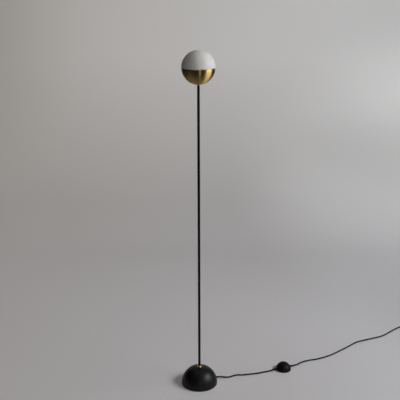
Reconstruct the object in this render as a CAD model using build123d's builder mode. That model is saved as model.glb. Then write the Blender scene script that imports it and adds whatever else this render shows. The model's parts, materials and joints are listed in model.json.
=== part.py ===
"""Floor lamp with an opal glass ball in a brass cup, a slim pole, a half-ball foot and a foot switch.

The lamp stands on the floor at z = 0 with its pole on the Z axis. +X points to the foot switch's side
and +Y to the back. All lengths are in millimetres.
"""
import os
from math import asin, cos, degrees, pi, radians, sin, sqrt, tan

from build123d import *

os.makedirs("parts", exist_ok=True)

UPRIGHT = (Align.CENTER, Align.CENTER, Align.MIN)

# Foot: a cast half ball on a felt ring, closed below by a steel plate
base_radius = 88.3
base_wall = 16.0
base_rim_width = 5.5
base_edge_round = 0.8
plate_thickness = 2.5
plate_clearance = 0.3
plate_screw_count = 3
plate_screw_head = 4.0
plate_screw_radius = 2.0
plate_screw_length = 12.0
pad_thickness = 1.0
pad_width = 20.0
pad_margin = 1.2

# Pole and the hollow threaded nipples at its two ends
pole_radius = 6.0
pole_wall = 1.0
nipple_wall = 1.2
nipple_grip = 18.0
nipple_tail = 2.0
thread_clearance = 0.1
nut_flats = 14.0
base_nut_height = 5.0
base_washer_radius = 10.0
base_washer_thickness = 2.0
seat_margin = 2.0
collar_flange_radius = 12.5
collar_flange_height = 3.0
collar_boss_radius = 8.0
collar_height = 9.0
collar_floor = 3.0
collar_round = 1.0
crown_margin = 1.8

# Head: a spun cup that carries the glass, with the lamp holder inside
globe_height = 1555.0
cup_radius = 75.0
cup_wall = 1.2
cup_rim_drop = 2.5
cup_flat_radius = 11.0
neck_radius = 5.6
neck_height = 4.0
glass_step = 0.4
glass_wall = 4.0
glass_seam = 0.3
lip_depth = 11.5
lip_clearance = 0.55
gasket_height = 3.0
gasket_width = 3.4
gasket_clearance = 0.05
head_washer_radius = 9.0
head_washer_thickness = 1.2
head_nut_height = 4.0
holder_cap_radius = 10.5
holder_cap_wall = 1.5
holder_cap_floor = 4.0
holder_cap_height = 18.0
holder_radius = 12.0
holder_height = 24.0
holder_spigot = 8.0
holder_clearance = 0.2
holder_chamfer = 0.8
holder_screw_radius = 1.25
holder_screw_head = 2.2
holder_screw_head_height = 1.2
holder_screw_reach = 3.0
pin_spacing = 9.0
pin_radius = 0.7
pin_length = 14.0
contact_wall = 0.45
pin_clearance = 0.1
bulb_base_radius = 7.5
bulb_base_height = 12.0
bulb_radius = 8.5
bulb_length = 40.0
bulb_wall = 1.2
led_width = 9.0
led_thickness = 1.6
led_length = 30.0

# Wiring inside the foot and the pole
block_depth = 16.0
block_length = 30.0
block_height = 16.0
block_distance = 22.0
block_ways = 3
block_pitch = 9.0
terminal_screw_radius = 1.8
terminal_screw_depth = 5.0
block_screw_radius = 1.5
block_screw_head = 2.7
block_screw_head_height = 2.0
lead_diameter = 4.6
lead_bend = 12.0
earth_lead_diameter = 2.0
earth_bend = 8.0
earth_offset = 12.0
tag_radius = 9.0
tag_thickness = 0.8
tag_tail_width = 6.0
tag_tail_end = 15.0
clamp_distance = 50.0
clamp_depth = 9.0
clamp_length = 22.0
clamp_gap = 0.6
clamp_bar_thickness = 3.0
clamp_screw_spacing = 15.0
clamp_screw_radius = 1.5
clamp_screw_head = 2.7
clamp_screw_head_height = 2.0
slip = 0.05

# Cord and the bush that it leaves the foot through
cord_diameter = 7.2
cord_floor_gap = 0.1
cord_exit_height = 13.0
cord_exit_azimuth = 17.0
exit_run = 14.0
corner_share = 0.45
bush_radius = 5.4
bush_flange_radius = 7.0
bush_flange_thickness = 1.5
bush_tail = 2.0
bush_nose = 8.0
bush_nose_radius = 4.7
bush_clearance = 0.1
gland_depth = 0.4

# Foot switch: a small half ball whose cap is the button
switch_x = 432.5
switch_y = 121.5
switch_azimuth = 21.0
switch_radius = 38.3
switch_wall = 2.5
switch_foot_height = 1.0
switch_foot_radius = 4.0
switch_foot_circle = 20.0
switch_foot_count = 4
switch_base_thickness = 3.0
switch_clearance = 0.3
pillar_radius = 3.0
pillar_margin = 1.0
pillar_height = 15.0
pillar_count = 4
pillar_angle = 45.0
switch_screw_head = 2.6
switch_screw_radius = 1.3
switch_screw_length = 11.0
button_radius = 24.0
button_gap = 0.5
button_proud = 0.8
button_wall = 2.5
button_flange_width = 2.2
button_flange_thickness = 2.0
button_flange_gap = 0.4
button_travel = 3.0
button_boss_radius = 8.0
button_boss_depth = 3.0
stem_radius = 3.0
stem_entry = 1.5
stem_clearance = 0.3
mechanism_length = 22.0
mechanism_width = 16.0
mechanism_height = 12.0
spring_radius = 5.5
spring_wire = 1.0
spring_turns = 6
grommet_radius = 5.2
grommet_flange_radius = 6.2
grommet_flange_thickness = 6.0
grommet_nose = 9.0
grommet_nose_radius = 4.6
grip_distance = 22.0
grip_width = 5.0
grip_length = 20.0
grip_thickness = 3.0
grip_screw_spacing = 15.0
grip_post_radius = 2.5
grip_screw_radius = 1.2
grip_screw_head = 2.2
grip_screw_head_height = 1.6
grip_screw_bite = 5.0

# Put-away coil of the length beyond the foot switch: spirals in on the floor, then out on top of itself
coil_x = 1241.0
coil_y = 646.5
coil_inner_radius = 29.0
coil_step = 7.8
coil_layer_rise = 7.8
quarter_turns_in = 10
quarter_turns_out = 9
coil_run = 22.0
tie_width = 8.0
tie_thickness = 0.8
tie_clearance = 0.4
tie_round = 2.5

# Earthed plug, lying on the floor
plug_x = 1194.0
plug_y = 545.0
plug_radius = 18.5
plug_length = 38.0
plug_shoulder = 10.0
plug_rear_radius = 9.0
plug_round = 1.5
relief_radius = 6.6
relief_end_radius = 4.8
relief_length = 20.0
relief_grooves = 4
relief_groove_width = 1.6
relief_groove_depth = 0.8
plug_pin_radius = 2.4
plug_pin_length = 19.0
plug_pin_spacing = 19.0
plug_pin_root = 6.0
earth_strip_width = 7.0
earth_strip_thickness = 0.8
earth_strip_length = 16.0
earth_socket_radius = 2.6
earth_socket_depth = 16.0
earth_socket_offset = 10.0

# Heights and radii that follow from the sizes above
base_bottom = pad_thickness
plate_top = base_bottom + plate_thickness
base_inner_radius = base_radius - base_wall
ledge_radius = sqrt(base_inner_radius**2 - plate_thickness**2)
recess_radius = base_radius - base_rim_width
screw_circle = (ledge_radius + recess_radius) / 2
pad_radius = screw_circle - plate_screw_head - pad_margin
nipple_radius = pole_radius - pole_wall
nipple_bore = nipple_radius - nipple_wall
thread_hole = nipple_radius + thread_clearance
crown_radius = collar_flange_radius + crown_margin
crown_height = sqrt(base_radius**2 - crown_radius**2)
nut_seat_radius = base_washer_radius + seat_margin
nut_seat = base_bottom + base_inner_radius
collar_bottom = base_bottom + crown_height
pole_bottom = collar_bottom + collar_floor
base_washer_bottom = nut_seat - base_washer_thickness
tag_bottom = base_washer_bottom - tag_thickness
base_nut_bottom = tag_bottom - base_nut_height

cup_inner_radius = cup_radius - cup_wall
cup_flat = sqrt(cup_radius**2 - cup_flat_radius**2)
cup_floor = cup_flat - cup_wall
cup_bottom = globe_height - cup_flat
pole_top = cup_bottom - neck_height
pole_length = pole_top - pole_bottom
head_washer_bottom = cup_bottom + cup_wall
head_nut_bottom = head_washer_bottom + head_washer_thickness
cap_bottom = head_nut_bottom + head_nut_height
cap_top = cap_bottom + holder_cap_height
spigot_bottom = cap_top - holder_spigot
spigot_radius = holder_cap_radius - holder_cap_wall - holder_clearance
head_nipple_top = cap_bottom + holder_cap_floor
holder_top = cap_top + holder_height
contact_bore = pin_radius + pin_clearance
contact_radius = contact_bore + contact_wall
bulb_base_top = holder_top + bulb_base_height

lip_radius = cup_inner_radius - lip_clearance
glass_radius = cup_radius - glass_step
glass_inner_radius = glass_radius - glass_wall
shoulder = glass_seam - cup_rim_drop
lip_bottom = shoulder - lip_depth
gasket_radius = cup_inner_radius - gasket_clearance
gasket_bottom = lip_bottom - gasket_height

cord_radius = cord_diameter / 2
lay_height = cord_radius + cord_floor_gap
gland_rise = cord_exit_height - base_bottom
gland_face = sqrt(base_radius**2 - (gland_rise + bush_flange_radius) ** 2) - gland_depth
bush_inner_end = sqrt(base_inner_radius**2 - gland_rise**2) - bush_tail
bush_end = gland_face + bush_flange_thickness + bush_nose

switch_inner_radius = switch_radius - switch_wall
switch_base_top = switch_foot_height + switch_base_thickness
switch_plate_radius = sqrt(switch_inner_radius**2 - switch_base_thickness**2) - switch_clearance
pillar_circle = switch_plate_radius - pillar_radius - pillar_margin
button_cap_radius = switch_radius + button_proud
button_cap_inner = button_cap_radius - button_wall
button_flange_radius = button_radius + button_flange_width
button_flange_top = sqrt(switch_inner_radius**2 - button_flange_radius**2) - button_flange_gap
mechanism_top = switch_base_top + mechanism_height
switch_entry_height = switch_base_top + grommet_flange_radius + switch_clearance
entry_rise = switch_entry_height - switch_foot_height
grommet_face = sqrt(switch_inner_radius**2 - (entry_rise + grommet_flange_radius) ** 2) - switch_clearance
grommet_end = sqrt(switch_radius**2 - entry_rise**2) + grommet_nose
grip_bottom = switch_entry_height + cord_radius + slip
grip_screw_hole = grip_screw_radius + thread_clearance

# Frames that groups of pieces are placed in
exit_direction = Vector(cos(radians(cord_exit_azimuth)), sin(radians(cord_exit_azimuth)), 0)
gland_plane = Plane(origin=(0, 0, cord_exit_height), z_dir=exit_direction)
bench_plane = Plane(origin=(0, 0, plate_top), x_dir=exit_direction, z_dir=(0, 0, 1))
switch_direction = Vector(cos(radians(switch_azimuth)), sin(radians(switch_azimuth)), 0)
switch_plane = Plane(origin=(switch_x, switch_y, 0), x_dir=switch_direction, z_dir=(0, 0, 1))
switch_axis = Axis((switch_x, switch_y, 0), (0, 0, 1))
plug_plane = Plane(origin=(plug_x, plug_y, plug_radius), x_dir=(0, 0, 1), z_dir=(0, -1, 0))


def upright_section(height):
    """Gives the XZ plane with its local origin on the lamp's axis at a height."""
    return Plane(origin=(0, 0, height), x_dir=(1, 0, 0), z_dir=(0, -1, 0))


def switch_section():
    """Gives the upright plane along the foot switch's cord, from the middle of its half ball."""
    centre = switch_plane.from_local_coords((0, 0, switch_foot_height))
    return Plane(origin=centre, x_dir=switch_direction, z_dir=switch_direction.cross(Vector(0, 0, 1)))


def switch_point(x, y, z):
    """Gives the place of a point in the foot switch's own frame."""
    return switch_plane.from_local_coords(Vector(x, y, z))


def sphere_arc(radius, start_height, end_height):
    """Draws the outline of a ball about the local origin between two heights."""
    start = degrees(asin(start_height / radius))
    end = degrees(asin(end_height / radius))
    return CenterArc((0, 0), radius, start, end - start)


def finish(piece, name):
    """Labels a finished piece and writes its file."""
    piece.part.label = name
    export_step(piece.part, f"parts/{name}.step")


def ring(bottom, height, outer_radius, bore_radius):
    """Makes an upright ring or tube on the lamp's axis."""
    with BuildPart() as piece:
        with BuildSketch(Plane.XY.offset(bottom)):
            Circle(outer_radius)
            Circle(bore_radius, mode=Mode.SUBTRACT)
        extrude(amount=height)
    return piece


def hex_nut(bottom, height):
    """Makes a hexagon nut for the nipples on the lamp's axis."""
    with BuildPart() as piece:
        with BuildSketch(Plane.XY.offset(bottom)):
            RegularPolygon(nut_flats / 2, 6, major_radius=False)
            Circle(thread_hole, mode=Mode.SUBTRACT)
        extrude(amount=height)
    return piece


def countersunk(head_radius, shank_radius, length, mode=Mode.ADD):
    """Adds or cuts a countersunk screw that points up from its head."""
    Cone(head_radius, shank_radius, head_radius - shank_radius, align=UPRIGHT, mode=mode)
    Cylinder(shank_radius, length, align=UPRIGHT, mode=mode)


def headed_screw(head_radius, head_height, shank_radius, length):
    """Adds a screw that points down, with the underside of its head at the place it is put."""
    Cylinder(head_radius, head_height, align=UPRIGHT)
    Cylinder(shank_radius, length, align=(Align.CENTER, Align.CENTER, Align.MAX))


def straight_tube(start, end, radius):
    """Makes a straight round piece between two points."""
    with BuildPart() as piece:
        with BuildSketch(Plane(origin=start, z_dir=end - start)):
            Circle(radius)
        extrude(amount=(end - start).length)
    return piece


def corner_radii(points):
    """Gives the largest smooth arc for each corner of a cord's route."""
    radii = []
    for before, corner, after in zip(points, points[1:], points[2:]):
        into, out = corner - before, after - corner
        half_turn = radians(into.get_angle(out)) / 2
        radii.append(corner_share * min(into.length, out.length) / tan(half_turn))
    return radii


def cord_tube(name, route):
    """Makes a free stretch of cord along a route and prints its arcs and its volume."""
    points = [Vector(*place) for place in route]
    radii = corner_radii(points)
    with BuildPart() as piece:
        with BuildLine() as path:
            FilletPolyline(*points, radius=radii)
        with BuildSketch(Plane(origin=points[0], z_dir=points[1] - points[0])):
            Circle(cord_radius)
        sweep()
    length = path.wire().length
    share = piece.part.volume / (pi * cord_radius**2 * length)
    print(f"{name}: length {length:.1f}, least radius {min(radii):.1f}, volume share {share:.4f}")
    print(f"{name} radii:", [round(radius) for radius in radii])
    return piece


def biarc(start, start_tangent, end, end_tangent):
    """Draws two tangent arcs from one directed point to another."""
    chord = end - start
    both = start_tangent + end_tangent
    lean = 2 * (1 - start_tangent.dot(end_tangent))
    along = chord.dot(both)
    reach = (sqrt(along**2 + lean * chord.dot(chord)) - along) / lean
    middle = (start + start_tangent * reach + end - end_tangent * reach) * 0.5
    first = TangentArc(start, middle, tangent=start_tangent)
    TangentArc(middle, end, tangent=first % 1)


def winding(stations, wire_radius):
    """Makes one unbroken round winding through directed points."""
    with BuildPart() as piece:
        with BuildLine() as path:
            for (start, start_tangent), (end, end_tangent) in zip(stations, stations[1:]):
                biarc(start, start_tangent, end, end_tangent)
        with BuildSketch(Plane(origin=stations[0][0], z_dir=stations[0][1])):
            Circle(wire_radius)
        sweep()
    return piece, path.wire()


def self_gap(wire, wire_radius, turn_length):
    """Measures the least gap between a winding's turns, on points along its centre."""
    count = int(wire.length / wire_radius)
    points = [wire.position_at(index / count) for index in range(count + 1)]
    apart = int(turn_length / 2 / wire_radius)
    distances = [
        (first - second).length
        for index, first in enumerate(points)
        for second in points[index + apart:]
    ]
    return min(distances) - 2 * wire_radius


# Foot

with BuildPart() as base_casting:
    with BuildSketch(upright_section(base_bottom)):
        with BuildLine():
            outside = sphere_arc(base_radius, 0, crown_height)
            seat_edge = sqrt(base_inner_radius**2 - nut_seat_radius**2)
            inside = sphere_arc(base_inner_radius, plate_thickness, seat_edge)
            Polyline(
                outside @ 1,
                (thread_hole, crown_height),
                (thread_hole, base_inner_radius),
                (nut_seat_radius, base_inner_radius),
                inside @ 1,
            )
            Polyline(inside @ 0, (recess_radius, plate_thickness), (recess_radius, 0), outside @ 0)
        make_face()
    revolve(axis=Axis.Z)
    fillet(base_casting.edges().group_by(Axis.Z)[0].sort_by(SortBy.RADIUS)[-1], base_edge_round)
    with BuildSketch(gland_plane.offset(base_inner_radius / 2)):
        Circle(bush_radius + bush_clearance)
    extrude(amount=base_radius, mode=Mode.SUBTRACT)
    with BuildSketch(gland_plane.offset(gland_face)):
        Circle(bush_flange_radius + bush_clearance)
    extrude(amount=base_radius, mode=Mode.SUBTRACT)
    with BuildSketch(Plane.XY.offset(plate_top)):
        with PolarLocations(screw_circle, plate_screw_count):
            Circle(plate_screw_radius + thread_clearance)
    extrude(amount=plate_screw_length - plate_thickness + thread_clearance, mode=Mode.SUBTRACT)
finish(base_casting, "base_casting")

with BuildPart() as base_plate:
    with BuildSketch(Plane.XY.offset(base_bottom)):
        Circle(recess_radius - plate_clearance)
    extrude(amount=plate_thickness)
    with Locations((0, 0, base_bottom)):
        with PolarLocations(screw_circle, plate_screw_count):
            countersunk(
                plate_screw_head + thread_clearance,
                plate_screw_radius + thread_clearance,
                plate_thickness,
                mode=Mode.SUBTRACT,
            )
    with BuildSketch(bench_plane):
        with Locations((clamp_distance, 0)):
            with GridLocations(0, clamp_screw_spacing, 1, 2):
                Circle(clamp_screw_radius + thread_clearance)
        with Locations((block_distance, 0)):
            with GridLocations(0, block_pitch, 1, block_ways - 1):
                Circle(block_screw_radius + thread_clearance)
    extrude(amount=-plate_thickness, mode=Mode.SUBTRACT)
finish(base_plate, "base_plate")

with BuildPart() as plate_screws:
    with Locations((0, 0, base_bottom)):
        with PolarLocations(screw_circle, plate_screw_count):
            countersunk(plate_screw_head, plate_screw_radius, plate_screw_length)
finish(plate_screws, "plate_screws")

finish(ring(0, pad_thickness, pad_radius, pad_radius - pad_width), "felt_pad")

with BuildPart() as cord_bush:
    with BuildSketch(gland_plane.offset(bush_inner_end)):
        Circle(bush_radius)
    extrude(amount=gland_face - bush_inner_end)
    with BuildSketch(gland_plane.offset(gland_face)):
        Circle(bush_flange_radius)
    extrude(amount=bush_flange_thickness)
    with BuildSketch(gland_plane.offset(gland_face + bush_flange_thickness)):
        Circle(bush_radius)
    with BuildSketch(gland_plane.offset(bush_end)):
        Circle(bush_nose_radius)
    loft()
    with BuildSketch(gland_plane.offset(bush_inner_end)):
        Circle(cord_radius + slip)
    extrude(amount=bush_end - bush_inner_end, mode=Mode.SUBTRACT)
finish(cord_bush, "cord_bush")

block_face = block_distance + block_depth / 2
gland_end = gland_plane.offset(bush_end).origin
cord_in_base = straight_tube(gland_end, gland_plane.offset(block_face).origin, cord_radius)
finish(cord_in_base, "cord_in_base")

cord_rise = cord_exit_height - plate_top
clamp_top = cord_rise + cord_radius + clamp_bar_thickness
with BuildPart(bench_plane) as clamp_block:
    with Locations((clamp_distance, 0, 0)):
        Box(clamp_depth, clamp_length, cord_rise - clamp_gap / 2, align=UPRIGHT)
        with GridLocations(0, clamp_screw_spacing, 1, 2):
            Cylinder(clamp_screw_radius + thread_clearance, cord_rise, align=UPRIGHT, mode=Mode.SUBTRACT)
    with Locations((clamp_distance, 0, cord_rise)):
        Cylinder(cord_radius + slip, 2 * clamp_depth, rotation=(0, 90, 0), mode=Mode.SUBTRACT)
finish(clamp_block, "clamp_block")

with BuildPart(bench_plane) as clamp_bar:
    with Locations((clamp_distance, 0, cord_rise + clamp_gap / 2)):
        Box(clamp_depth, clamp_length, clamp_top - cord_rise - clamp_gap / 2, align=UPRIGHT)
        with GridLocations(0, clamp_screw_spacing, 1, 2):
            Cylinder(clamp_screw_radius + thread_clearance, clamp_top, align=UPRIGHT, mode=Mode.SUBTRACT)
    with Locations((clamp_distance, 0, cord_rise)):
        Cylinder(cord_radius + slip, 2 * clamp_depth, rotation=(0, 90, 0), mode=Mode.SUBTRACT)
finish(clamp_bar, "clamp_bar")

with BuildPart(bench_plane) as clamp_screws:
    with Locations((clamp_distance, 0, clamp_top)):
        with GridLocations(0, clamp_screw_spacing, 1, 2):
            headed_screw(
                clamp_screw_head, clamp_screw_head_height, clamp_screw_radius, clamp_top + plate_thickness
            )
finish(clamp_screws, "clamp_screws")

with BuildPart(bench_plane) as terminal_block:
    with Locations((block_distance, 0, 0)):
        Box(block_depth, block_length, block_height, align=UPRIGHT)
        with GridLocations(0, block_pitch, 1, block_ways - 1):
            Cylinder(block_screw_radius + thread_clearance, block_height, align=UPRIGHT, mode=Mode.SUBTRACT)
    with Locations((block_distance, 0, block_height - terminal_screw_depth)):
        with GridLocations(0, block_pitch, 1, block_ways):
            Cylinder(
                terminal_screw_radius + thread_clearance,
                terminal_screw_depth,
                align=UPRIGHT,
                mode=Mode.SUBTRACT,
            )
finish(terminal_block, "terminal_block")

with BuildPart(bench_plane) as terminal_screws:
    with Locations((block_distance, 0, block_height - terminal_screw_depth)):
        with GridLocations(0, block_pitch, 1, block_ways):
            Cylinder(terminal_screw_radius, terminal_screw_depth, align=UPRIGHT)
finish(terminal_screws, "terminal_screws")

with BuildPart(bench_plane) as block_screws:
    with Locations((block_distance, 0, block_height)):
        with GridLocations(0, block_pitch, 1, block_ways - 1):
            headed_screw(
                block_screw_head,
                block_screw_head_height,
                block_screw_radius,
                block_height + plate_thickness,
            )
finish(block_screws, "block_screws")

# Pole, with its collar and the stack that clamps it to the foot

with BuildPart() as pole_collar:
    with BuildSketch(upright_section(collar_bottom)):
        with BuildLine():
            Polyline(
                (thread_hole, 0),
                (collar_flange_radius, 0),
                (collar_flange_radius, collar_flange_height),
                (collar_boss_radius, collar_flange_height),
                (collar_boss_radius, collar_height),
                (pole_radius + thread_clearance, collar_height),
                (pole_radius + thread_clearance, collar_floor),
                (thread_hole, collar_floor),
                close=True,
            )
        make_face()
    revolve(axis=Axis.Z)
    flange_edge = pole_collar.edges().filter_by_position(
        Axis.Z, collar_bottom + collar_flange_height - slip, collar_bottom + collar_flange_height + slip
    ).sort_by(SortBy.RADIUS)[-1]
    boss_edge = pole_collar.edges().group_by(Axis.Z)[-1].sort_by(SortBy.RADIUS)[-1]
    fillet([flange_edge, boss_edge], collar_round)
finish(pole_collar, "pole_collar")

finish(ring(pole_bottom, pole_length, pole_radius, nipple_radius), "pole")

base_nipple_bottom = base_nut_bottom - nipple_tail
base_nipple_top = pole_bottom + nipple_grip
base_nipple = ring(
    base_nipple_bottom, base_nipple_top - base_nipple_bottom, nipple_radius - slip, nipple_bore
)
finish(base_nipple, "base_nipple")
finish(ring(base_washer_bottom, base_washer_thickness, base_washer_radius, thread_hole), "base_washer")
finish(hex_nut(base_nut_bottom, base_nut_height), "base_nut")

with BuildPart() as earth_tag:
    with BuildSketch(Plane(origin=(0, 0, tag_bottom), x_dir=exit_direction, z_dir=(0, 0, 1))):
        Circle(tag_radius)
        with Locations((0, tag_tail_end / 2)):
            Rectangle(tag_tail_width, tag_tail_end)
        Circle(thread_hole, mode=Mode.SUBTRACT)
    extrude(amount=tag_thickness)
finish(earth_tag, "earth_tag")

block_back = block_distance - block_depth / 2
with BuildPart() as earth_lead:
    with BuildLine():
        FilletPolyline(
            bench_plane.from_local_coords(Vector(block_back, earth_offset, cord_rise)),
            bench_plane.from_local_coords(Vector(0, earth_offset, cord_rise)),
            bench_plane.from_local_coords(Vector(0, earth_offset, tag_bottom - plate_top)),
            radius=earth_bend,
        )
    lead_start = bench_plane.from_local_coords(Vector(block_back, earth_offset, cord_rise))
    with BuildSketch(Plane(origin=lead_start, z_dir=-exit_direction)):
        Circle(earth_lead_diameter / 2)
    sweep()
finish(earth_lead, "earth_lead")

with BuildPart() as pole_lead:
    lead_start = bench_plane.from_local_coords(Vector(block_back, 0, cord_rise))
    with BuildLine():
        FilletPolyline(
            lead_start,
            (0, 0, cord_exit_height),
            (0, 0, spigot_bottom),
            radius=lead_bend,
        )
    with BuildSketch(Plane(origin=lead_start, z_dir=-exit_direction)):
        Circle(lead_diameter / 2)
    sweep()
finish(pole_lead, "pole_lead")

# Head: cup, gasket and glass

with BuildPart() as brass_cup:
    with BuildSketch(upright_section(globe_height)):
        with BuildLine():
            outside = sphere_arc(cup_radius, -cup_rim_drop, -cup_flat)
            inside = sphere_arc(cup_inner_radius, -cup_rim_drop, -cup_floor)
            Line(outside @ 0, inside @ 0)
            Polyline(outside @ 1, (thread_hole, -cup_flat), (thread_hole, -cup_floor), inside @ 1)
        make_face()
    revolve(axis=Axis.Z)
    rim_edges = brass_cup.edges().group_by(Axis.Z)[-1].filter_by(GeomType.CIRCLE)
    fillet(rim_edges, cup_wall / 4)
finish(brass_cup, "brass_cup")

with BuildPart() as opal_globe:
    with BuildSketch(upright_section(globe_height)):
        with BuildLine():
            outside = sphere_arc(glass_radius, shoulder, glass_radius)
            lip = sphere_arc(lip_radius, shoulder, lip_bottom)
            inside = sphere_arc(glass_inner_radius, lip_bottom, glass_inner_radius)
            Line(outside @ 0, lip @ 0)
            Line(lip @ 1, inside @ 0)
            Line(inside @ 1, outside @ 1)
        make_face()
    revolve(axis=Axis.Z)
finish(opal_globe, "opal_globe")

with BuildPart() as globe_gasket:
    with BuildSketch(upright_section(globe_height)):
        with BuildLine():
            outside = sphere_arc(gasket_radius, lip_bottom, gasket_bottom)
            gasket_bore = (outside @ 1).X - gasket_width
            Polyline(outside @ 0, (gasket_bore, lip_bottom), (gasket_bore, gasket_bottom), outside @ 1)
        make_face()
    revolve(axis=Axis.Z)
finish(globe_gasket, "globe_gasket")

finish(ring(pole_top, neck_height, neck_radius, thread_hole), "neck_ring")
head_nipple_bottom = pole_top - nipple_grip
head_nipple = ring(
    head_nipple_bottom, head_nipple_top - head_nipple_bottom, nipple_radius - slip, nipple_bore
)
finish(head_nipple, "head_nipple")
finish(ring(head_washer_bottom, head_washer_thickness, head_washer_radius, thread_hole), "head_washer")
finish(hex_nut(head_nut_bottom, head_nut_height), "head_nut")

# Lamp holder and bulb

screw_height = cap_top - holder_spigot / 2
with BuildPart() as holder_cap:
    with BuildSketch(Plane.XY.offset(cap_bottom)):
        Circle(holder_cap_radius)
        Circle(thread_hole, mode=Mode.SUBTRACT)
    extrude(amount=holder_cap_height)
    with BuildSketch(Plane.XY.offset(cap_bottom + holder_cap_floor)):
        Circle(holder_cap_radius - holder_cap_wall)
    extrude(amount=holder_cap_height, mode=Mode.SUBTRACT)
    with Locations((0, 0, screw_height)):
        Cylinder(
            holder_screw_radius + thread_clearance,
            3 * holder_cap_radius,
            rotation=(90, 0, 0),
            mode=Mode.SUBTRACT,
        )
finish(holder_cap, "holder_cap")

with BuildPart() as lamp_holder:
    with BuildSketch(Plane.XY.offset(spigot_bottom)):
        Circle(spigot_radius)
    extrude(amount=holder_spigot)
    with BuildSketch(Plane.XY.offset(cap_top)):
        Circle(holder_radius)
    extrude(amount=holder_height)
    chamfer(lamp_holder.edges().group_by(Axis.Z)[-1], holder_chamfer)
    with BuildSketch(Plane.XY.offset(holder_top)):
        with GridLocations(pin_spacing, 0, 2, 1):
            Circle(contact_radius + slip)
    extrude(amount=-(pin_length + pin_radius), mode=Mode.SUBTRACT)
    for side in (1, -1):
        screw_plane = Plane(origin=(0, side * spigot_radius, screw_height), z_dir=(0, -side, 0))
        with BuildSketch(screw_plane):
            Circle(holder_screw_radius + thread_clearance)
        extrude(amount=holder_screw_reach, mode=Mode.SUBTRACT)
finish(lamp_holder, "lamp_holder")

with BuildPart() as holder_screws:
    for side in (1, -1):
        screw_plane = Plane(origin=(0, side * holder_cap_radius, screw_height), z_dir=(0, side, 0))
        with BuildSketch(screw_plane):
            Circle(holder_screw_head)
        extrude(amount=holder_screw_head_height)
        with BuildSketch(screw_plane):
            Circle(holder_screw_radius)
        extrude(amount=-(holder_cap_wall + holder_screw_reach))
finish(holder_screws, "holder_screws")

with BuildPart() as holder_contacts:
    with BuildSketch(Plane.XY.offset(holder_top - pin_length - pin_radius)):
        with GridLocations(pin_spacing, 0, 2, 1):
            Circle(contact_radius)
            Circle(contact_bore, mode=Mode.SUBTRACT)
    extrude(amount=pin_length)
finish(holder_contacts, "holder_contacts")

with BuildPart() as bulb_base:
    with BuildSketch(Plane.XY.offset(holder_top)):
        Circle(bulb_base_radius)
    extrude(amount=bulb_base_height)
    with BuildSketch(Plane.XY.offset(holder_top)):
        with GridLocations(pin_spacing, 0, 2, 1):
            Circle(pin_radius)
    extrude(amount=bulb_base_height / 2, mode=Mode.SUBTRACT)
finish(bulb_base, "bulb_base")

with BuildPart() as bulb_pins:
    with BuildSketch(Plane.XY.offset(holder_top - pin_length)):
        with GridLocations(pin_spacing, 0, 2, 1):
            Circle(pin_radius)
    extrude(amount=pin_length + bulb_base_height / 2)
finish(bulb_pins, "bulb_pins")

with BuildPart() as bulb_envelope:
    with BuildSketch(upright_section(bulb_base_top)):
        with BuildLine():
            straight = bulb_length - bulb_radius
            inner = bulb_radius - bulb_wall
            crown = CenterArc((0, straight), bulb_radius, 0, 90)
            hollow = CenterArc((0, straight), inner, 0, 90)
            Polyline(crown @ 0, (bulb_radius, 0), (inner, 0), hollow @ 0)
            Line(hollow @ 1, crown @ 1)
        make_face()
    revolve(axis=Axis.Z)
finish(bulb_envelope, "bulb_envelope")

with BuildPart() as led_core:
    with Locations((0, 0, bulb_base_top)):
        Box(led_width, led_thickness, led_length, align=UPRIGHT)
finish(led_core, "led_core")

# Foot switch

entry_plane = Plane(origin=switch_point(0, 0, switch_entry_height), z_dir=switch_direction)
hole_radius = button_radius + button_gap
with BuildPart(switch_plane) as switch_shell:
    with BuildSketch(switch_section()):
        with BuildLine():
            outside = sphere_arc(switch_radius, 0, sqrt(switch_radius**2 - hole_radius**2))
            inside = sphere_arc(switch_inner_radius, 0, sqrt(switch_inner_radius**2 - hole_radius**2))
            Line(outside @ 0, inside @ 0)
            Line(outside @ 1, inside @ 1)
        make_face()
    revolve(axis=switch_axis)
    with Locations((0, 0, switch_base_top)):
        with PolarLocations(pillar_circle, pillar_count, start_angle=pillar_angle):
            Cylinder(pillar_radius, pillar_height, align=UPRIGHT)
            Cylinder(
                switch_screw_radius + thread_clearance,
                switch_screw_length,
                align=UPRIGHT,
                mode=Mode.SUBTRACT,
            )
    with Locations((0, 0, switch_foot_height)):
        Sphere(switch_radius, mode=Mode.INTERSECT)
    with BuildSketch(entry_plane):
        Circle(grommet_radius + thread_clearance)
    extrude(amount=switch_radius, both=True, mode=Mode.SUBTRACT)
finish(switch_shell, "switch_shell")

with BuildPart(switch_plane) as switch_base:
    with Locations((0, 0, switch_foot_height)):
        Cylinder(switch_plate_radius, switch_base_thickness, align=UPRIGHT)
        with PolarLocations(pillar_circle, pillar_count, start_angle=pillar_angle):
            countersunk(
                switch_screw_head + thread_clearance,
                switch_screw_radius + thread_clearance,
                switch_base_thickness,
                mode=Mode.SUBTRACT,
            )
    with Locations((0, 0, switch_base_top)):
        with GridLocations(2 * grip_distance, grip_screw_spacing, 2, 2):
            Cylinder(grip_post_radius, grip_bottom - switch_base_top, align=UPRIGHT)
    with Locations((0, 0, grip_bottom - grip_screw_bite)):
        with GridLocations(2 * grip_distance, grip_screw_spacing, 2, 2):
            Cylinder(grip_screw_hole, grip_screw_bite, align=UPRIGHT, mode=Mode.SUBTRACT)
finish(switch_base, "switch_base")

with BuildPart(switch_plane) as switch_feet:
    with PolarLocations(switch_foot_circle, switch_foot_count):
        Cylinder(switch_foot_radius, switch_foot_height, align=UPRIGHT)
finish(switch_feet, "switch_feet")

with BuildPart(switch_plane) as switch_screws:
    with Locations((0, 0, switch_foot_height)):
        with PolarLocations(pillar_circle, pillar_count, start_angle=pillar_angle):
            countersunk(switch_screw_head, switch_screw_radius, switch_screw_length)
finish(switch_screws, "switch_screws")

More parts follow.
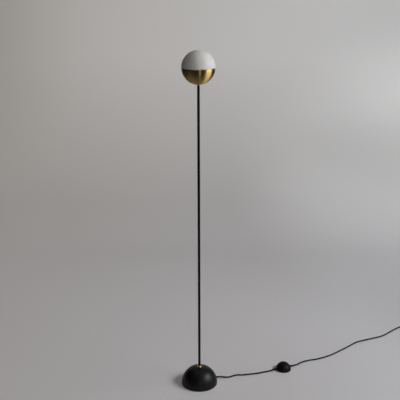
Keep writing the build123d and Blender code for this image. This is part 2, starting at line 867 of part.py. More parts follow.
mechanism_rise = mechanism_top - switch_foot_height
boss_bottom = button_cap_inner - button_boss_depth
skirt_inner = button_radius - button_wall
with BuildPart() as switch_button:
    with BuildSketch(switch_section()):
        with BuildLine():
            edge_height = sqrt(button_cap_radius**2 - button_radius**2)
            outside = sphere_arc(button_cap_radius, edge_height, button_cap_radius)
            roof_low = sqrt(button_cap_inner**2 - skirt_inner**2)
            roof_high = sqrt(button_cap_inner**2 - button_boss_radius**2)
            inside = sphere_arc(button_cap_inner, roof_low, roof_high)
            Polyline(
                outside @ 1,
                (0, mechanism_rise - stem_entry),
                (stem_radius, mechanism_rise - stem_entry),
                (stem_radius, boss_bottom),
                (button_boss_radius, boss_bottom),
                inside @ 1,
            )
            Polyline(
                inside @ 0,
                (skirt_inner, button_flange_top - button_flange_thickness),
                (button_flange_radius, button_flange_top - button_flange_thickness),
                (button_flange_radius, button_flange_top),
                (button_radius, button_flange_top),
                outside @ 0,
            )
        make_face()
    revolve(axis=switch_axis)
finish(switch_button, "switch_button")

with BuildPart(switch_plane) as switch_mechanism:
    with Locations((0, 0, switch_base_top)):
        Box(mechanism_length, mechanism_width, mechanism_height, align=UPRIGHT)
    with Locations((0, 0, mechanism_top)):
        Cylinder(
            stem_radius + stem_clearance,
            stem_entry + button_travel + stem_clearance,
            align=(Align.CENTER, Align.CENTER, Align.MAX),
            mode=Mode.SUBTRACT,
        )
finish(switch_mechanism, "switch_mechanism")

spring_bottom = mechanism_top + spring_wire / 2
spring_top = switch_foot_height + boss_bottom - spring_wire / 2
spring_slope = (spring_top - spring_bottom) / (2 * pi * spring_turns * spring_radius)
spring_stations = []
for quarter in range(4 * spring_turns + 1):
    angle = quarter * pi / 2
    height = spring_bottom + (spring_top - spring_bottom) * quarter / (4 * spring_turns)
    place = switch_point(spring_radius * cos(angle), spring_radius * sin(angle), height)
    level = switch_point(-sin(angle), cos(angle), 0) - switch_point(0, 0, 0)
    spring_stations.append((place, (level + Vector(0, 0, spring_slope)).normalized()))
button_spring, spring_path = winding(spring_stations, spring_wire / 2)
print(f"button_spring: least gap {self_gap(spring_path, spring_wire / 2, 2 * pi * spring_radius):.2f}")
finish(button_spring, "button_spring")

with BuildPart() as switch_grommets:
    for side in (1, -1):
        inner_plane = entry_plane.offset(side * (grommet_face - grommet_flange_thickness))
        wall_plane = entry_plane.offset(side * grommet_face)
        with BuildSketch(inner_plane):
            Circle(grommet_flange_radius)
        extrude(amount=side * grommet_flange_thickness)
        with BuildSketch(wall_plane):
            Circle(grommet_radius)
        extrude(amount=side * (grommet_end - grommet_nose - grommet_face))
        with BuildSketch(entry_plane.offset(side * (grommet_end - grommet_nose))):
            Circle(grommet_radius)
        with BuildSketch(entry_plane.offset(side * grommet_end)):
            Circle(grommet_nose_radius)
        loft()
        with BuildSketch(inner_plane):
            Circle(cord_radius + slip)
        extrude(amount=side * (grommet_end - grommet_face + grommet_flange_thickness), mode=Mode.SUBTRACT)
finish(switch_grommets, "switch_grommets")

with BuildPart() as switch_leads:
    for side in (1, -1):
        with BuildSketch(entry_plane.offset(side * mechanism_length / 2)):
            Circle(cord_radius)
        extrude(amount=side * (grommet_end - mechanism_length / 2))
finish(switch_leads, "switch_leads")

with BuildPart(switch_plane) as switch_grips:
    with Locations((0, 0, grip_bottom)):
        with GridLocations(2 * grip_distance, 0, 2, 1):
            Box(grip_width, grip_length, grip_thickness, align=UPRIGHT)
        with GridLocations(2 * grip_distance, grip_screw_spacing, 2, 2):
            Cylinder(grip_screw_hole, grip_thickness, align=UPRIGHT, mode=Mode.SUBTRACT)
finish(switch_grips, "switch_grips")

with BuildPart(switch_plane) as grip_screws:
    with Locations((0, 0, grip_bottom + grip_thickness)):
        with GridLocations(2 * grip_distance, grip_screw_spacing, 2, 2):
            headed_screw(
                grip_screw_head, grip_screw_head_height, grip_screw_radius, grip_thickness + grip_screw_bite
            )
finish(grip_screws, "grip_screws")

# Cord: foot to switch, switch to coil, coil, and coil to plug

route_to_switch = [
    gland_end,
    gland_end + exit_direction * exit_run,
    (124.0, 38.5, 5.6),
    (150.5, 40.3, lay_height),
    (172.0, 53.5, lay_height),
    (193.0, 63.0, lay_height),
    (215.0, 60.0, lay_height),
    (246.0, 66.8, lay_height),
    (290.0, 73.8, lay_height),
    (328.0, 88.0, lay_height),
    (352.5, 94.6, lay_height),
    switch_point(-grommet_end - exit_run, 0, switch_entry_height),
    switch_point(-grommet_end, 0, switch_entry_height),
]
finish(cord_tube("cord_to_switch", route_to_switch), "cord_to_switch")

coil_outer_radius = coil_inner_radius + coil_step * quarter_turns_in / 4
coil_height = tie_thickness + lay_height
coil_start = Vector(coil_x, coil_y - coil_outer_radius, coil_height)
route_to_coil = [
    switch_point(grommet_end, 0, switch_entry_height),
    switch_point(grommet_end + exit_run, 0, switch_entry_height),
    (509.0, 158.5, 4.6),
    (532.0, 183.5, lay_height),
    (574.0, 204.5, lay_height),
    (610.0, 211.0, lay_height),
    (666.0, 236.0, lay_height),
    (712.0, 264.5, lay_height),
    (764.0, 307.5, lay_height),
    (816.0, 352.5, lay_height),
    (868.0, 399.5, lay_height),
    (922.0, 422.0, lay_height),
    (976.0, 443.5, lay_height),
    (1032.0, 468.0, lay_height),
    (1088.0, 521.0, lay_height),
    (1138.0, 563.0, lay_height),
    (1176.0, 589.5, lay_height),
    coil_start - Vector(coil_run, 0, 0),
    coil_start,
]
finish(cord_tube("cord_to_coil", route_to_coil), "cord_to_coil")


def coil_station(quarter):
    """Gives the place and direction of the coiled cord after a number of quarter turns."""
    angle = (quarter - 1) * pi / 2
    side = 1 if quarter > quarter_turns_in else -1 if quarter < quarter_turns_in else 0
    radius = coil_inner_radius + coil_step * abs(quarter - quarter_turns_in) / 4
    drift = side * coil_step / (2 * pi)
    climb = min(max(quarter - quarter_turns_in, -1), 1) * pi / 2
    height = coil_height + coil_layer_rise * (1 + sin(climb)) / 2
    rise = coil_layer_rise / 2 if side == 0 else 0
    if quarter in (0, quarter_turns_in + quarter_turns_out):
        drift = 0
    place = Vector(coil_x + radius * cos(angle), coil_y + radius * sin(angle), height)
    outward = Vector(cos(angle), sin(angle), 0)
    forward = Vector(-sin(angle), cos(angle), 0)
    return place, (forward * radius + outward * drift + Vector(0, 0, rise)).normalized()


coil_stations = [coil_station(quarter) for quarter in range(quarter_turns_in + quarter_turns_out + 1)]
cord_coil, coil_path = winding(coil_stations, cord_radius)
coil_gap = self_gap(coil_path, cord_radius, 2 * pi * coil_inner_radius)
coil_share = cord_coil.part.volume / (pi * cord_radius**2 * coil_path.length)
print(f"cord_coil: length {coil_path.length:.1f}, least gap {coil_gap:.2f}, volume share {coil_share:.4f}")
finish(cord_coil, "cord_coil")

# Strap round all the turns on the coil's +X side, where each turn has done a quarter more
tied_radii = [
    coil_inner_radius + coil_step * abs(quarter - quarter_turns_in) / 4
    for quarter in range(1, quarter_turns_in + quarter_turns_out, 4)
]
tie_inside = min(tied_radii) - cord_radius - tie_clearance
tie_outside = max(tied_radii) + cord_radius + tie_clearance
tie_span = tie_outside - tie_inside
tie_rise = coil_height + coil_layer_rise + cord_radius + tie_clearance - tie_thickness
tie_middle = (coil_x + (tie_inside + tie_outside) / 2, coil_y, tie_thickness + tie_rise / 2)
with BuildPart() as coil_tie:
    with BuildSketch(Plane(origin=tie_middle, x_dir=(1, 0, 0), z_dir=(0, -1, 0))):
        RectangleRounded(tie_span + 2 * tie_thickness, tie_rise + 2 * tie_thickness, tie_round + tie_thickness)
        RectangleRounded(tie_span, tie_rise, tie_round, mode=Mode.SUBTRACT)
    extrude(amount=tie_width / 2, both=True)
finish(coil_tie, "coil_tie")

coil_end, coil_heading = coil_stations[-1]
relief_end = plug_plane.offset(-relief_length).origin
route_to_plug = [
    coil_end,
    coil_end + coil_heading * exit_run,
    (1191.5, 606.0, 12.0),
    relief_end + Vector(0, exit_run, 0),
    relief_end,
]
finish(cord_tube("cord_to_plug", route_to_plug), "cord_to_plug")

# Plug

with BuildPart() as plug_body:
    with BuildSketch(plug_plane):
        Circle(plug_rear_radius)
    with BuildSketch(plug_plane.offset(plug_shoulder)):
        Circle(plug_radius)
    loft()
    with BuildSketch(plug_plane.offset(plug_shoulder)):
        Circle(plug_radius)
    extrude(amount=plug_length - plug_shoulder)
    fillet(plug_body.edges().group_by(Axis.Y)[0], plug_round)
    with BuildSketch(plug_plane.offset(plug_length)):
        with GridLocations(plug_pin_spacing, 0, 2, 1):
            Circle(plug_pin_radius)
    extrude(amount=-plug_pin_root, mode=Mode.SUBTRACT)
    with BuildSketch(plug_plane.offset(plug_length)):
        with Locations((0, earth_socket_offset)):
            Circle(earth_socket_radius)
    extrude(amount=-earth_socket_depth, mode=Mode.SUBTRACT)
    for side in (1, -1):
        with BuildSketch(plug_plane.offset(plug_length)):
            with Locations((0, side * (plug_radius - earth_strip_thickness / 2))):
                Rectangle(earth_strip_width, 2 * earth_strip_thickness)
        extrude(amount=-earth_strip_length, mode=Mode.SUBTRACT)
finish(plug_body, "plug_body")

with BuildPart() as plug_pins:
    with BuildSketch(plug_plane.offset(plug_length - plug_pin_root)):
        with GridLocations(plug_pin_spacing, 0, 2, 1):
            Circle(plug_pin_radius)
    extrude(amount=plug_pin_root + plug_pin_length)
    fillet(plug_pins.edges().group_by(Axis.Y)[0], plug_pin_radius / 2)
finish(plug_pins, "plug_pins")

with BuildPart() as plug_earth_strips:
    for side in (1, -1):
        with BuildSketch(plug_plane.offset(plug_length)):
            with Locations((0, side * (plug_radius - earth_strip_thickness))):
                Rectangle(earth_strip_width, earth_strip_thickness)
        extrude(amount=-earth_strip_length)
finish(plug_earth_strips, "plug_earth_strips")

with BuildPart() as plug_relief:
    with BuildSketch(plug_plane.offset(-relief_length)):
        Circle(relief_end_radius)
    with BuildSketch(plug_plane):
        Circle(relief_radius)
    loft()
    groove_pitch = relief_length / (relief_grooves + 1)
    for groove in range(1, relief_grooves + 1):
        distance = groove * groove_pitch
        outer = relief_end_radius + (relief_radius - relief_end_radius) * distance / relief_length
        with BuildSketch(plug_plane.offset(distance - relief_length - relief_groove_width / 2)):
            Circle(relief_radius + slip)
            Circle(outer - relief_groove_depth, mode=Mode.SUBTRACT)
        extrude(amount=relief_groove_width, mode=Mode.SUBTRACT)
finish(plug_relief, "plug_relief")
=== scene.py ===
# %% [markdown]
# # A floor lamp with an opal ball in a brass cup
#
# The lamp is a cast half-ball foot, a thin pole and a spun brass cup that carries a white glass ball.
# A twisted flex runs over the floor to a domed foot switch, and on to an earthed plug.
# The solid model of every piece is already there, in metres and in its right place.
# This lesson loads it as a fixed frame and gives each piece the surface that the real one has.

import json
from math import asin, cos, pi, radians, sin, sqrt, tau

import bmesh
import bpy
from mathutils import Matrix, Vector


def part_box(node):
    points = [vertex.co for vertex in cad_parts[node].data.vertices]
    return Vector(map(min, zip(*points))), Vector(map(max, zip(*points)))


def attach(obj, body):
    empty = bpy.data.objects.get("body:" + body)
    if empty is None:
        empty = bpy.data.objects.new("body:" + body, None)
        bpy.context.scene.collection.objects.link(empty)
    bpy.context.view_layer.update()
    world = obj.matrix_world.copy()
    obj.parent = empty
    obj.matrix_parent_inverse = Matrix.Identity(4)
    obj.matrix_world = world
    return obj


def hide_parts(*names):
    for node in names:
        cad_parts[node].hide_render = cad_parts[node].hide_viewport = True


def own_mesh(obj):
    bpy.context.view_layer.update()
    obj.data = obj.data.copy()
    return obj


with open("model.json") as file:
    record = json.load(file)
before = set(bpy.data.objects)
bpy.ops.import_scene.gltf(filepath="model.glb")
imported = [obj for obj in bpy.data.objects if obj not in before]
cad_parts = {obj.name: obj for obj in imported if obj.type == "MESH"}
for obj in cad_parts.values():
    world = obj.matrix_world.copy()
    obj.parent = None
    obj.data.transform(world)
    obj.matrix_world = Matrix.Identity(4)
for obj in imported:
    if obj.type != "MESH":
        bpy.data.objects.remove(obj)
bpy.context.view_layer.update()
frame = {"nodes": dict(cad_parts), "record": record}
scene = bpy.context.scene
scene.view_settings.view_transform = "Standard"

# %% [markdown]
# ## Camera
#
# A camera has a place, a direction and a focal length.
# The ball, the pole and the foot give three places of known size, and one camera fits all of them.
# It stands a little above the ball and looks down, so the floor rises behind the lamp.
# Its axes are written as a matrix, because that keeps the small tilt of the horizon exact.

# %% Set up the camera
CAMERA_PLACE = Vector((0.0054, -3.1127, 1.9206))
CAMERA_PITCH = radians(17.28)
CAMERA_ROLL = radians(-0.18)
FOCAL_LENGTH, SENSOR_WIDTH = 63.88, 36.0

forward = Vector((0, cos(CAMERA_PITCH), -sin(CAMERA_PITCH)))
level_up = Vector((0, sin(CAMERA_PITCH), cos(CAMERA_PITCH)))
right = Vector((1, 0, 0)) * cos(CAMERA_ROLL) + level_up * sin(CAMERA_ROLL)
up = right.cross(forward)

camera_data = bpy.data.cameras.new("camera")
camera_data.lens = FOCAL_LENGTH
camera_data.sensor_width = SENSOR_WIDTH
camera = bpy.data.objects.new("camera", camera_data)
scene.collection.objects.link(camera)
axes = Matrix((right, up, -forward)).transposed().to_4x4()
camera.matrix_world = Matrix.Translation(CAMERA_PLACE) @ axes
scene.camera = camera
print("camera:", round(FOCAL_LENGTH, 1), "mm lens,", round(CAMERA_PLACE.z, 2), "m above the floor")

# %% [markdown]
# ## Shared surface effects
#
# Several finishes share the same kind of fine detail, so each effect is one shader node group.
# Grain is the bloom of powder coats, plastics and rubber.
# Spun lines are the rings that a lathe leaves on metal.
# Braid is the crossing of yarns on textile flex and webbing, with painted shade in the dips between the yarns
# and random flecks.
# A group only gives colours and values: the shader itself stays in each material.


# %% Helpers for node trees
def feed(tree, value, socket):
    """Sets a socket to a value, or links it to an output, where a node stands for its first output."""
    if isinstance(value, bpy.types.Node):
        value = value.outputs[0]
    if isinstance(value, bpy.types.NodeSocket):
        tree.links.new(value, socket)
    else:
        socket.default_value = value


def add_node(tree, kind, settings=None, **inputs):
    """Adds a node, with its properties from settings and its sockets from inputs."""
    node = tree.nodes.new(kind)
    for name, value in (settings or {}).items():
        setattr(node, name, value)
    for name, value in inputs.items():
        socket = node.inputs[int(name[1:])] if name[0] == "_" else node.inputs[name.replace("_", " ")]
        feed(tree, value, socket)
    return node


def math(tree, operation, *values):
    """Adds a Math node."""
    named = {f"_{index}": value for index, value in enumerate(values)}
    return add_node(tree, "ShaderNodeMath", {"operation": operation}, **named)


def new_tree(name, inputs, outputs, kind="ShaderNodeTree"):
    """Starts a tree with named sockets, and gives it with what it is given and what it gives."""
    tree = bpy.data.node_groups.new(name, kind)
    for label, socket_type, default in inputs:
        socket = tree.interface.new_socket(name=label, in_out="INPUT", socket_type=socket_type)
        if default is not None:
            socket.default_value = default
    for label, socket_type in outputs:
        tree.interface.new_socket(name=label, in_out="OUTPUT", socket_type=socket_type)
    print("tree:", name)
    return tree, tree.nodes.new("NodeGroupInput").outputs, tree.nodes.new("NodeGroupOutput").inputs


def swung(tree, colour, first, second, strength):
    """Gives a colour that grows paler and darker as two values swing round a half."""
    both = math(tree, "ADD", first, second)
    swing = math(tree, "MULTIPLY", math(tree, "SUBTRACT", both, 1.0), strength)
    shade = math(tree, "ADD", 1.0, swing)
    return add_node(tree, "ShaderNodeVectorMath", {"operation": "SCALE"}, Vector=colour, Scale=shade)


FLOAT = "NodeSocketFloat"
COLOUR = "NodeSocketColor"
MID_GREY = (0.5, 0.5, 0.5, 1)

# %% Grain
grain, given, gives = new_tree(
    "fine_grain",
    [("Colour", COLOUR, MID_GREY), ("Size", FLOAT, 0.0005), ("Variation", FLOAT, 0.15)],
    [("Colour", COLOUR), ("Height", FLOAT), ("Patches", FLOAT)],
)
place = add_node(grain, "ShaderNodeTexCoord").outputs["Object"]
grain_scale = math(grain, "DIVIDE", 1.0, given["Size"])
specks = add_node(grain, "ShaderNodeTexNoise", Vector=place, Scale=grain_scale, Detail=2.0).outputs["Fac"]
cloudy = {"Scale": 24.0, "Detail": 4.0, "Roughness": 0.6}
patches = add_node(grain, "ShaderNodeTexNoise", Vector=place, **cloudy).outputs["Fac"]
feed(grain, swung(grain, given["Colour"], specks, patches, given["Variation"]), gives["Colour"])
feed(grain, specks, gives["Height"])
feed(grain, patches, gives["Patches"])

# %% Spun lines
spun, given, gives = new_tree(
    "spun_lines",
    [("Colour", COLOUR, MID_GREY), ("Pitch", FLOAT, 0.0004), ("Variation", FLOAT, 0.1)],
    [("Colour", COLOUR), ("Height", FLOAT), ("Patches", FLOAT)],
)
place = add_node(spun, "ShaderNodeTexCoord").outputs["Object"]
parts = add_node(spun, "ShaderNodeSeparateXYZ", Vector=place).outputs
flat = add_node(spun, "ShaderNodeCombineXYZ", X=parts["X"], Y=parts["Y"])
radius = add_node(spun, "ShaderNodeVectorMath", {"operation": "LENGTH"}, Vector=flat)
down = math(spun, "SUBTRACT", radius.outputs["Value"], parts["Z"])
along = math(spun, "DIVIDE", down, given["Pitch"])
lined = {"noise_dimensions": "1D"}
rings = add_node(spun, "ShaderNodeTexNoise", lined, W=along, Scale=1.0, Detail=3.0).outputs["Fac"]
haze = add_node(spun, "ShaderNodeTexNoise", Vector=place, Scale=35.0, Detail=3.0).outputs["Fac"]
feed(spun, swung(spun, given["Colour"], rings, haze, given["Variation"]), gives["Colour"])
feed(spun, rings, gives["Height"])
feed(spun, haze, gives["Patches"])

# %% Braid
braid, given, gives = new_tree(
    "yarn_braid",
    [
        ("Colour", COLOUR, MID_GREY),
        ("Yarns", FLOAT, 6.0),
        ("Pitch", FLOAT, 0.003),
        ("Fleck", FLOAT, 0.3),
    ],
    [("Colour", COLOUR), ("Height", FLOAT)],
)
spread = add_node(braid, "ShaderNodeUVMap", {"uv_map": "UVMap"}).outputs["UV"]
parts = add_node(braid, "ShaderNodeSeparateXYZ", Vector=spread).outputs
around = math(braid, "MULTIPLY", parts["X"], given["Yarns"])
length = math(braid, "DIVIDE", parts["Y"], given["Pitch"])
rising = math(braid, "SINE", math(braid, "MULTIPLY", math(braid, "ADD", around, length), tau))
falling = math(braid, "SINE", math(braid, "MULTIPLY", math(braid, "SUBTRACT", around, length), tau))
over = math(braid, "MAXIMUM", rising, falling)
height = math(braid, "MULTIPLY_ADD", over, 0.5, 0.5)
place = add_node(braid, "ShaderNodeTexCoord").outputs["Object"]
fluff = add_node(braid, "ShaderNodeTexNoise", Vector=place, Scale=1800.0, Detail=2.0).outputs["Fac"]
# Painted shade and random flecks: the colour is darker in the dips of the weave, paler on its crossings, and
# flecked by the fluff
feed(braid, swung(braid, given["Colour"], fluff, height, given["Fleck"]), gives["Colour"])
feed(braid, height, gives["Height"])

# %% [markdown]
# ## Finishes
#
# Each finish is one material: a shader with its constant values on its own sockets, and one of the groups
# above for what changes over the surface.
# The height goes through a Bump node, so the light breaks up on close views.
# Colours are written as they should look under plain light.

# %% Build the finishes
finishes = {}


def new_material(name, **constants):
    """Starts a material, and gives it with its tree and its shader, whose sockets hold the constants."""
    material = bpy.data.materials.new(name)
    material.use_nodes = True
    shader = material.node_tree.nodes["Principled BSDF"]
    for label, value in constants.items():
        shader.inputs[label].default_value = value
    return material, material.node_tree, shader


def finish(slot, group, colour, roughness, bump, constants=None, spread=0.08, **values):
    """Makes the material of one slot from a surface group, with its roughness spread over soft patches."""
    material, tree, shader = new_material(slot, **(constants or {}))
    surface = add_node(tree, "ShaderNodeGroup", {"node_tree": group}, Colour=(*colour, 1), **values)
    feed(tree, surface, shader.inputs["Base Color"])
    uneven = surface.outputs["Patches"] if "Patches" in surface.outputs else surface.outputs["Height"]
    rough = add_node(tree, "ShaderNodeMapRange", _0=uneven, _3=roughness - spread, _4=roughness + spread)
    feed(tree, rough, shader.inputs["Roughness"])
    relief = add_node(tree, "ShaderNodeBump", Strength=1.0, Distance=bump, Height=surface.outputs["Height"])
    feed(tree, relief, shader.inputs["Normal"])
    finishes[slot] = material
    return tree, shader


METAL = {"Metallic": 1.0}
SATIN = {"Specular IOR Level": 0.25}
MATT = {"Specular IOR Level": 0.15}
FUZZY = {"Sheen Weight": 0.4}
finish("black_casting", grain, (0.006, 0.006, 0.0066), 0.41, 0.00003, SATIN, Size=0.0007, Variation=0.3)
finish("black_paint", grain, (0.003, 0.003, 0.0033), 0.45, 0.00001, MATT, Size=0.0004, Variation=0.3)
finish("black_plastic", grain, (0.004, 0.004, 0.0044), 0.50, 0.00003, MATT, Size=0.0006, Variation=0.3)
finish("black_rubber", grain, (0.006, 0.006, 0.006), 0.70, 0.00002, MATT, Size=0.0004, Variation=0.3)
finish("white_plastic", grain, (0.78, 0.77, 0.73), 0.45, 0.00001, Size=0.0006, Variation=0.05)
finish("white_ceramic", grain, (0.80, 0.79, 0.74), 0.60, 0.00003, Size=0.0008, Variation=0.08)
finish("lead_sleeve", grain, (0.74, 0.72, 0.65), 0.55, 0.00001, Size=0.0005, Variation=0.08)
finish("earth_sleeve", grain, (0.30, 0.44, 0.08), 0.45, 0.00001, Size=0.0030, Variation=0.5)
finish("clear_silicone", grain, (0.72, 0.72, 0.69), 0.40, 0.00001, Size=0.0010, Variation=0.06)
finish("felt", grain, (0.035, 0.035, 0.036), 0.95, 0.00025, FUZZY, 0.03, Size=0.0009, Variation=0.8)
finish("steel", spun, (0.56, 0.56, 0.57), 0.32, 0.00001, METAL, Pitch=0.0003, Variation=0.15)
finish("nickel", spun, (0.70, 0.68, 0.64), 0.22, 0.00001, METAL, Pitch=0.0003, Variation=0.1)
# The last value of each of these sets the random flecks and the painted shade in the weave together
YARN = {"Yarns": 5.0, "Pitch": 0.0024, "Fleck": 0.8}
finish("black_braid", braid, (0.005, 0.005, 0.0055), 0.80, 0.00025, MATT, **YARN)
WEBBING = {"Yarns": 12.0, "Pitch": 0.0016, "Fleck": 0.6}
finish("tie_webbing", braid, (0.010, 0.010, 0.0105), 0.85, 0.0002, MATT, 0.05, **WEBBING)
print("finishes:", len(finishes))

# %% [markdown]
# ## Opal glass and brass
#
# Opal glass is white all through: light goes a little way in and comes out softened.
# Subsurface scattering gives that, with a matt acid-etched skin, so no sharp reflection shows.
# The cup is spun and brushed round its axis.
# Brushed rings spread a reflection up and down and keep it narrow sideways, which is anisotropy:
# the tangent follows the ring, and a quarter turn lays the spread across it.

# %% Opal glass
OPAL = {"Subsurface Weight": 1.0, "Subsurface Scale": 0.006, "Subsurface Radius": (1, 1, 1), "IOR": 1.45}
finish("opal_glass", grain, (0.868, 0.861, 0.84), 0.55, 0.000004, OPAL, 0.03, Size=0.0010, Variation=0.02)
FROST = {"Subsurface Weight": 0.3, "Subsurface Scale": 0.004, "Subsurface Radius": (1, 1, 1), "IOR": 1.45}
finish("frosted_envelope", grain, (0.84, 0.83, 0.79), 0.45, 0.00001, FROST, 0.05, Size=0.0006, Variation=0.03)
print("glass:", "opal_glass and frosted_envelope")

# %% Brass
BRUSHED = {"Metallic": 1.0, "Anisotropic": 1.0, "Anisotropic Rotation": 0.25}
LINES = {"Pitch": 0.00045, "Variation": 0.12}
tree, shader = finish("brass", spun, (0.57, 0.395, 0.145), 0.39, 0.000006, BRUSHED, 0.03, **LINES)
ring_way = add_node(tree, "ShaderNodeTangent", {"direction_type": "UV_MAP", "uv_map": "UVMap"})
feed(tree, ring_way, shader.inputs["Tangent"])
print("brass:", "brushed round the axis")

# %% [markdown]
# ## Finishes on the frame's own pieces
#
# The record of the model says which finish each solid has.
# The pieces inside the foot, the lamp holder and the switch keep their solid's shape.

# %% Put the finishes on the nodes
for subpart in frame["record"]["subparts"]:
    for material_slot in frame["nodes"][subpart["node"]].material_slots:
        material_slot.material = finishes[subpart["material_slot"]]

# %% [markdown]
# ## The flex
#
# The flex is three braided cores twisted together.
# It could be a plain tube with a painted twist, but the twist shows on the outline, so the cores are
# modelled.
# The line on the floor is one smooth spline for each length.
# A Geometry Nodes tree then turns a profile of three circles as it goes along that line.

# %% Lines of the flex
LAY = 0.0039
EXIT_RUN = 0.014
BUSH_TIP, BUSH_HEIGHT, EXIT_ANGLE = 0.09533, 0.013, radians(17)
SWITCH_ENTRY, ENTRY_HEIGHT, SWITCH_ANGLE = 0.0461, 0.0105, radians(21)

exit_way = Vector((cos(EXIT_ANGLE), sin(EXIT_ANGLE), 0))
gland = exit_way * BUSH_TIP + Vector((0, 0, BUSH_HEIGHT))
switch_place = Vector((0.4325, 0.1215, 0))
switch_way = Vector((cos(SWITCH_ANGLE), sin(SWITCH_ANGLE), 0))
entry_height = Vector((0, 0, ENTRY_HEIGHT))
switch_in = switch_place - switch_way * SWITCH_ENTRY + entry_height
switch_out = switch_place + switch_way * SWITCH_ENTRY + entry_height

line_to_switch = [
    gland,
    gland + exit_way * EXIT_RUN,
    (0.1240, 0.0385, 0.0056),
    (0.1505, 0.0403, LAY),
    (0.1720, 0.0535, LAY),
    (0.1930, 0.0630, LAY),
    (0.2150, 0.0600, LAY),
    (0.2460, 0.0668, LAY),
    (0.2900, 0.0738, LAY),
    (0.3280, 0.0880, LAY),
    (0.3525, 0.0946, LAY),
    switch_in - switch_way * EXIT_RUN,
    switch_in,
]
print("flex to the switch:", len(line_to_switch), "points")

# %% The flex beyond the switch, with its tied coil
COIL_CENTRE = Vector((1.241, 0.6465, 0))
COIL_INNER, COIL_STEP, COIL_RISE = 0.029, 0.0078, 0.0078
COIL_HEIGHT = 0.0045
QUARTERS_IN, QUARTERS_OUT = 10, 9
POINTS_A_QUARTER = 4
RELIEF_END = Vector((1.194, 0.565, 0.0185))
# A spline of this order runs inside its points by this share of a turn's radius
PULL = 0.75 + 0.25 * cos(pi / 2 / POINTS_A_QUARTER)


def coil_point(quarter, share=1.0):
    """Gives a point of the coil, which winds in on the floor and out on top, after some quarter turns."""
    angle = (quarter - 1) * pi / 2
    reach = (COIL_INNER + COIL_STEP * abs(quarter - QUARTERS_IN) / 4) / share
    climb = sin(min(max(quarter - QUARTERS_IN, -1), 1) * pi / 2)
    height = COIL_HEIGHT + COIL_RISE * (1 + climb) / 2
    return COIL_CENTRE + Vector((reach * cos(angle), reach * sin(angle), height))


coil_start = coil_point(0)
coil_end = coil_point(QUARTERS_IN + QUARTERS_OUT)
coil_count = (QUARTERS_IN + QUARTERS_OUT) * POINTS_A_QUARTER
line_to_plug = [
    switch_out,
    switch_out + switch_way * EXIT_RUN,
    (0.5090, 0.1585, 0.0046),
    (0.5320, 0.1835, LAY),
    (0.5740, 0.2045, LAY),
    (0.6100, 0.2110, LAY),
    (0.6660, 0.2360, LAY),
    (0.7120, 0.2645, LAY),
    (0.7640, 0.3075, LAY),
    (0.8160, 0.3525, LAY),
    (0.8680, 0.3995, LAY),
    (0.9220, 0.4220, LAY),
    (0.9760, 0.4435, LAY),
    (1.0320, 0.4680, LAY),
    (1.0880, 0.5210, LAY),
    (1.1380, 0.5630, LAY),
    (1.1760, 0.5895, LAY),
    coil_start - Vector((0.022, 0, 0)),
]
line_to_plug += [coil_point(step / POINTS_A_QUARTER, PULL) for step in range(coil_count + 1)]
line_to_plug += [
    coil_end - Vector((0, EXIT_RUN, 0)),
    (1.1915, 0.6060, 0.0120),
    RELIEF_END + Vector((0, EXIT_RUN, 0)),
    RELIEF_END,
]
print("flex to the plug:", len(line_to_plug), "points")

# %% Helpers for Geometry Nodes
WHOLE, SHAPE, COAT = "NodeSocketInt", "NodeSocketGeometry", "NodeSocketMaterial"


def shape_tree(name, inputs):
    """Starts a Geometry Nodes tree with a geometry in, a geometry out and named inputs."""
    inputs = [("Geometry", SHAPE, None), *inputs, ("Finish", COAT, None)]
    return new_tree(name, inputs, [("Geometry", SHAPE)], "GeometryNodeTree")


def captured(tree, geometry, label, value):
    """Keeps a value on the points of a geometry, and gives the geometry and the kept value."""
    node = tree.nodes.new("GeometryNodeCaptureAttribute")
    node.capture_items.new("FLOAT", label)
    feed(tree, geometry, node.inputs["Geometry"])
    feed(tree, value, node.inputs[label])
    return node.outputs["Geometry"], node.outputs[label]


def evened(tree, line, step):
    """Spaces the points of a line evenly, and gives it with the length run so far at each point."""
    even = add_node(tree, "GeometryNodeResampleCurve", {"mode": "LENGTH"}, Curve=line, Length=step)
    run = add_node(tree, "GeometryNodeSplineParameter").outputs["Length"]
    return captured(tree, even, "along", run)


def ringed(tree, profile):
    """Gives a profile with the share run round it at each point."""
    run = add_node(tree, "GeometryNodeSplineParameter").outputs["Factor"]
    return captured(tree, profile, "around", run)


def swept(tree, line, profile, capped=True):
    """Sweeps a profile along a line."""
    ends = {"Curve": line, "Profile_Curve": profile, "Fill_Caps": capped}
    return add_node(tree, "GeometryNodeCurveToMesh", **ends)


def mapped(tree, geometry, across, along):
    """Keeps two values as the UV map of a mesh."""
    spread = add_node(tree, "ShaderNodeCombineXYZ", X=across, Y=along)
    settings = {"data_type": "FLOAT2", "domain": "CORNER"}
    kept = {"Geometry": geometry, "Name": "UVMap", "Value": spread}
    return add_node(tree, "GeometryNodeStoreNamedAttribute", settings, **kept)


def end_tree(tree, geometry, given, gives):
    """Ends a tree with one smooth mesh in its finish."""
    smooth = add_node(tree, "GeometryNodeSetShadeSmooth", Geometry=geometry)
    whole = add_node(tree, "GeometryNodeRealizeInstances", Geometry=smooth)
    dressed = add_node(tree, "GeometryNodeSetMaterial", Geometry=whole, Material=given["Finish"])
    feed(tree, dressed, gives["Geometry"])


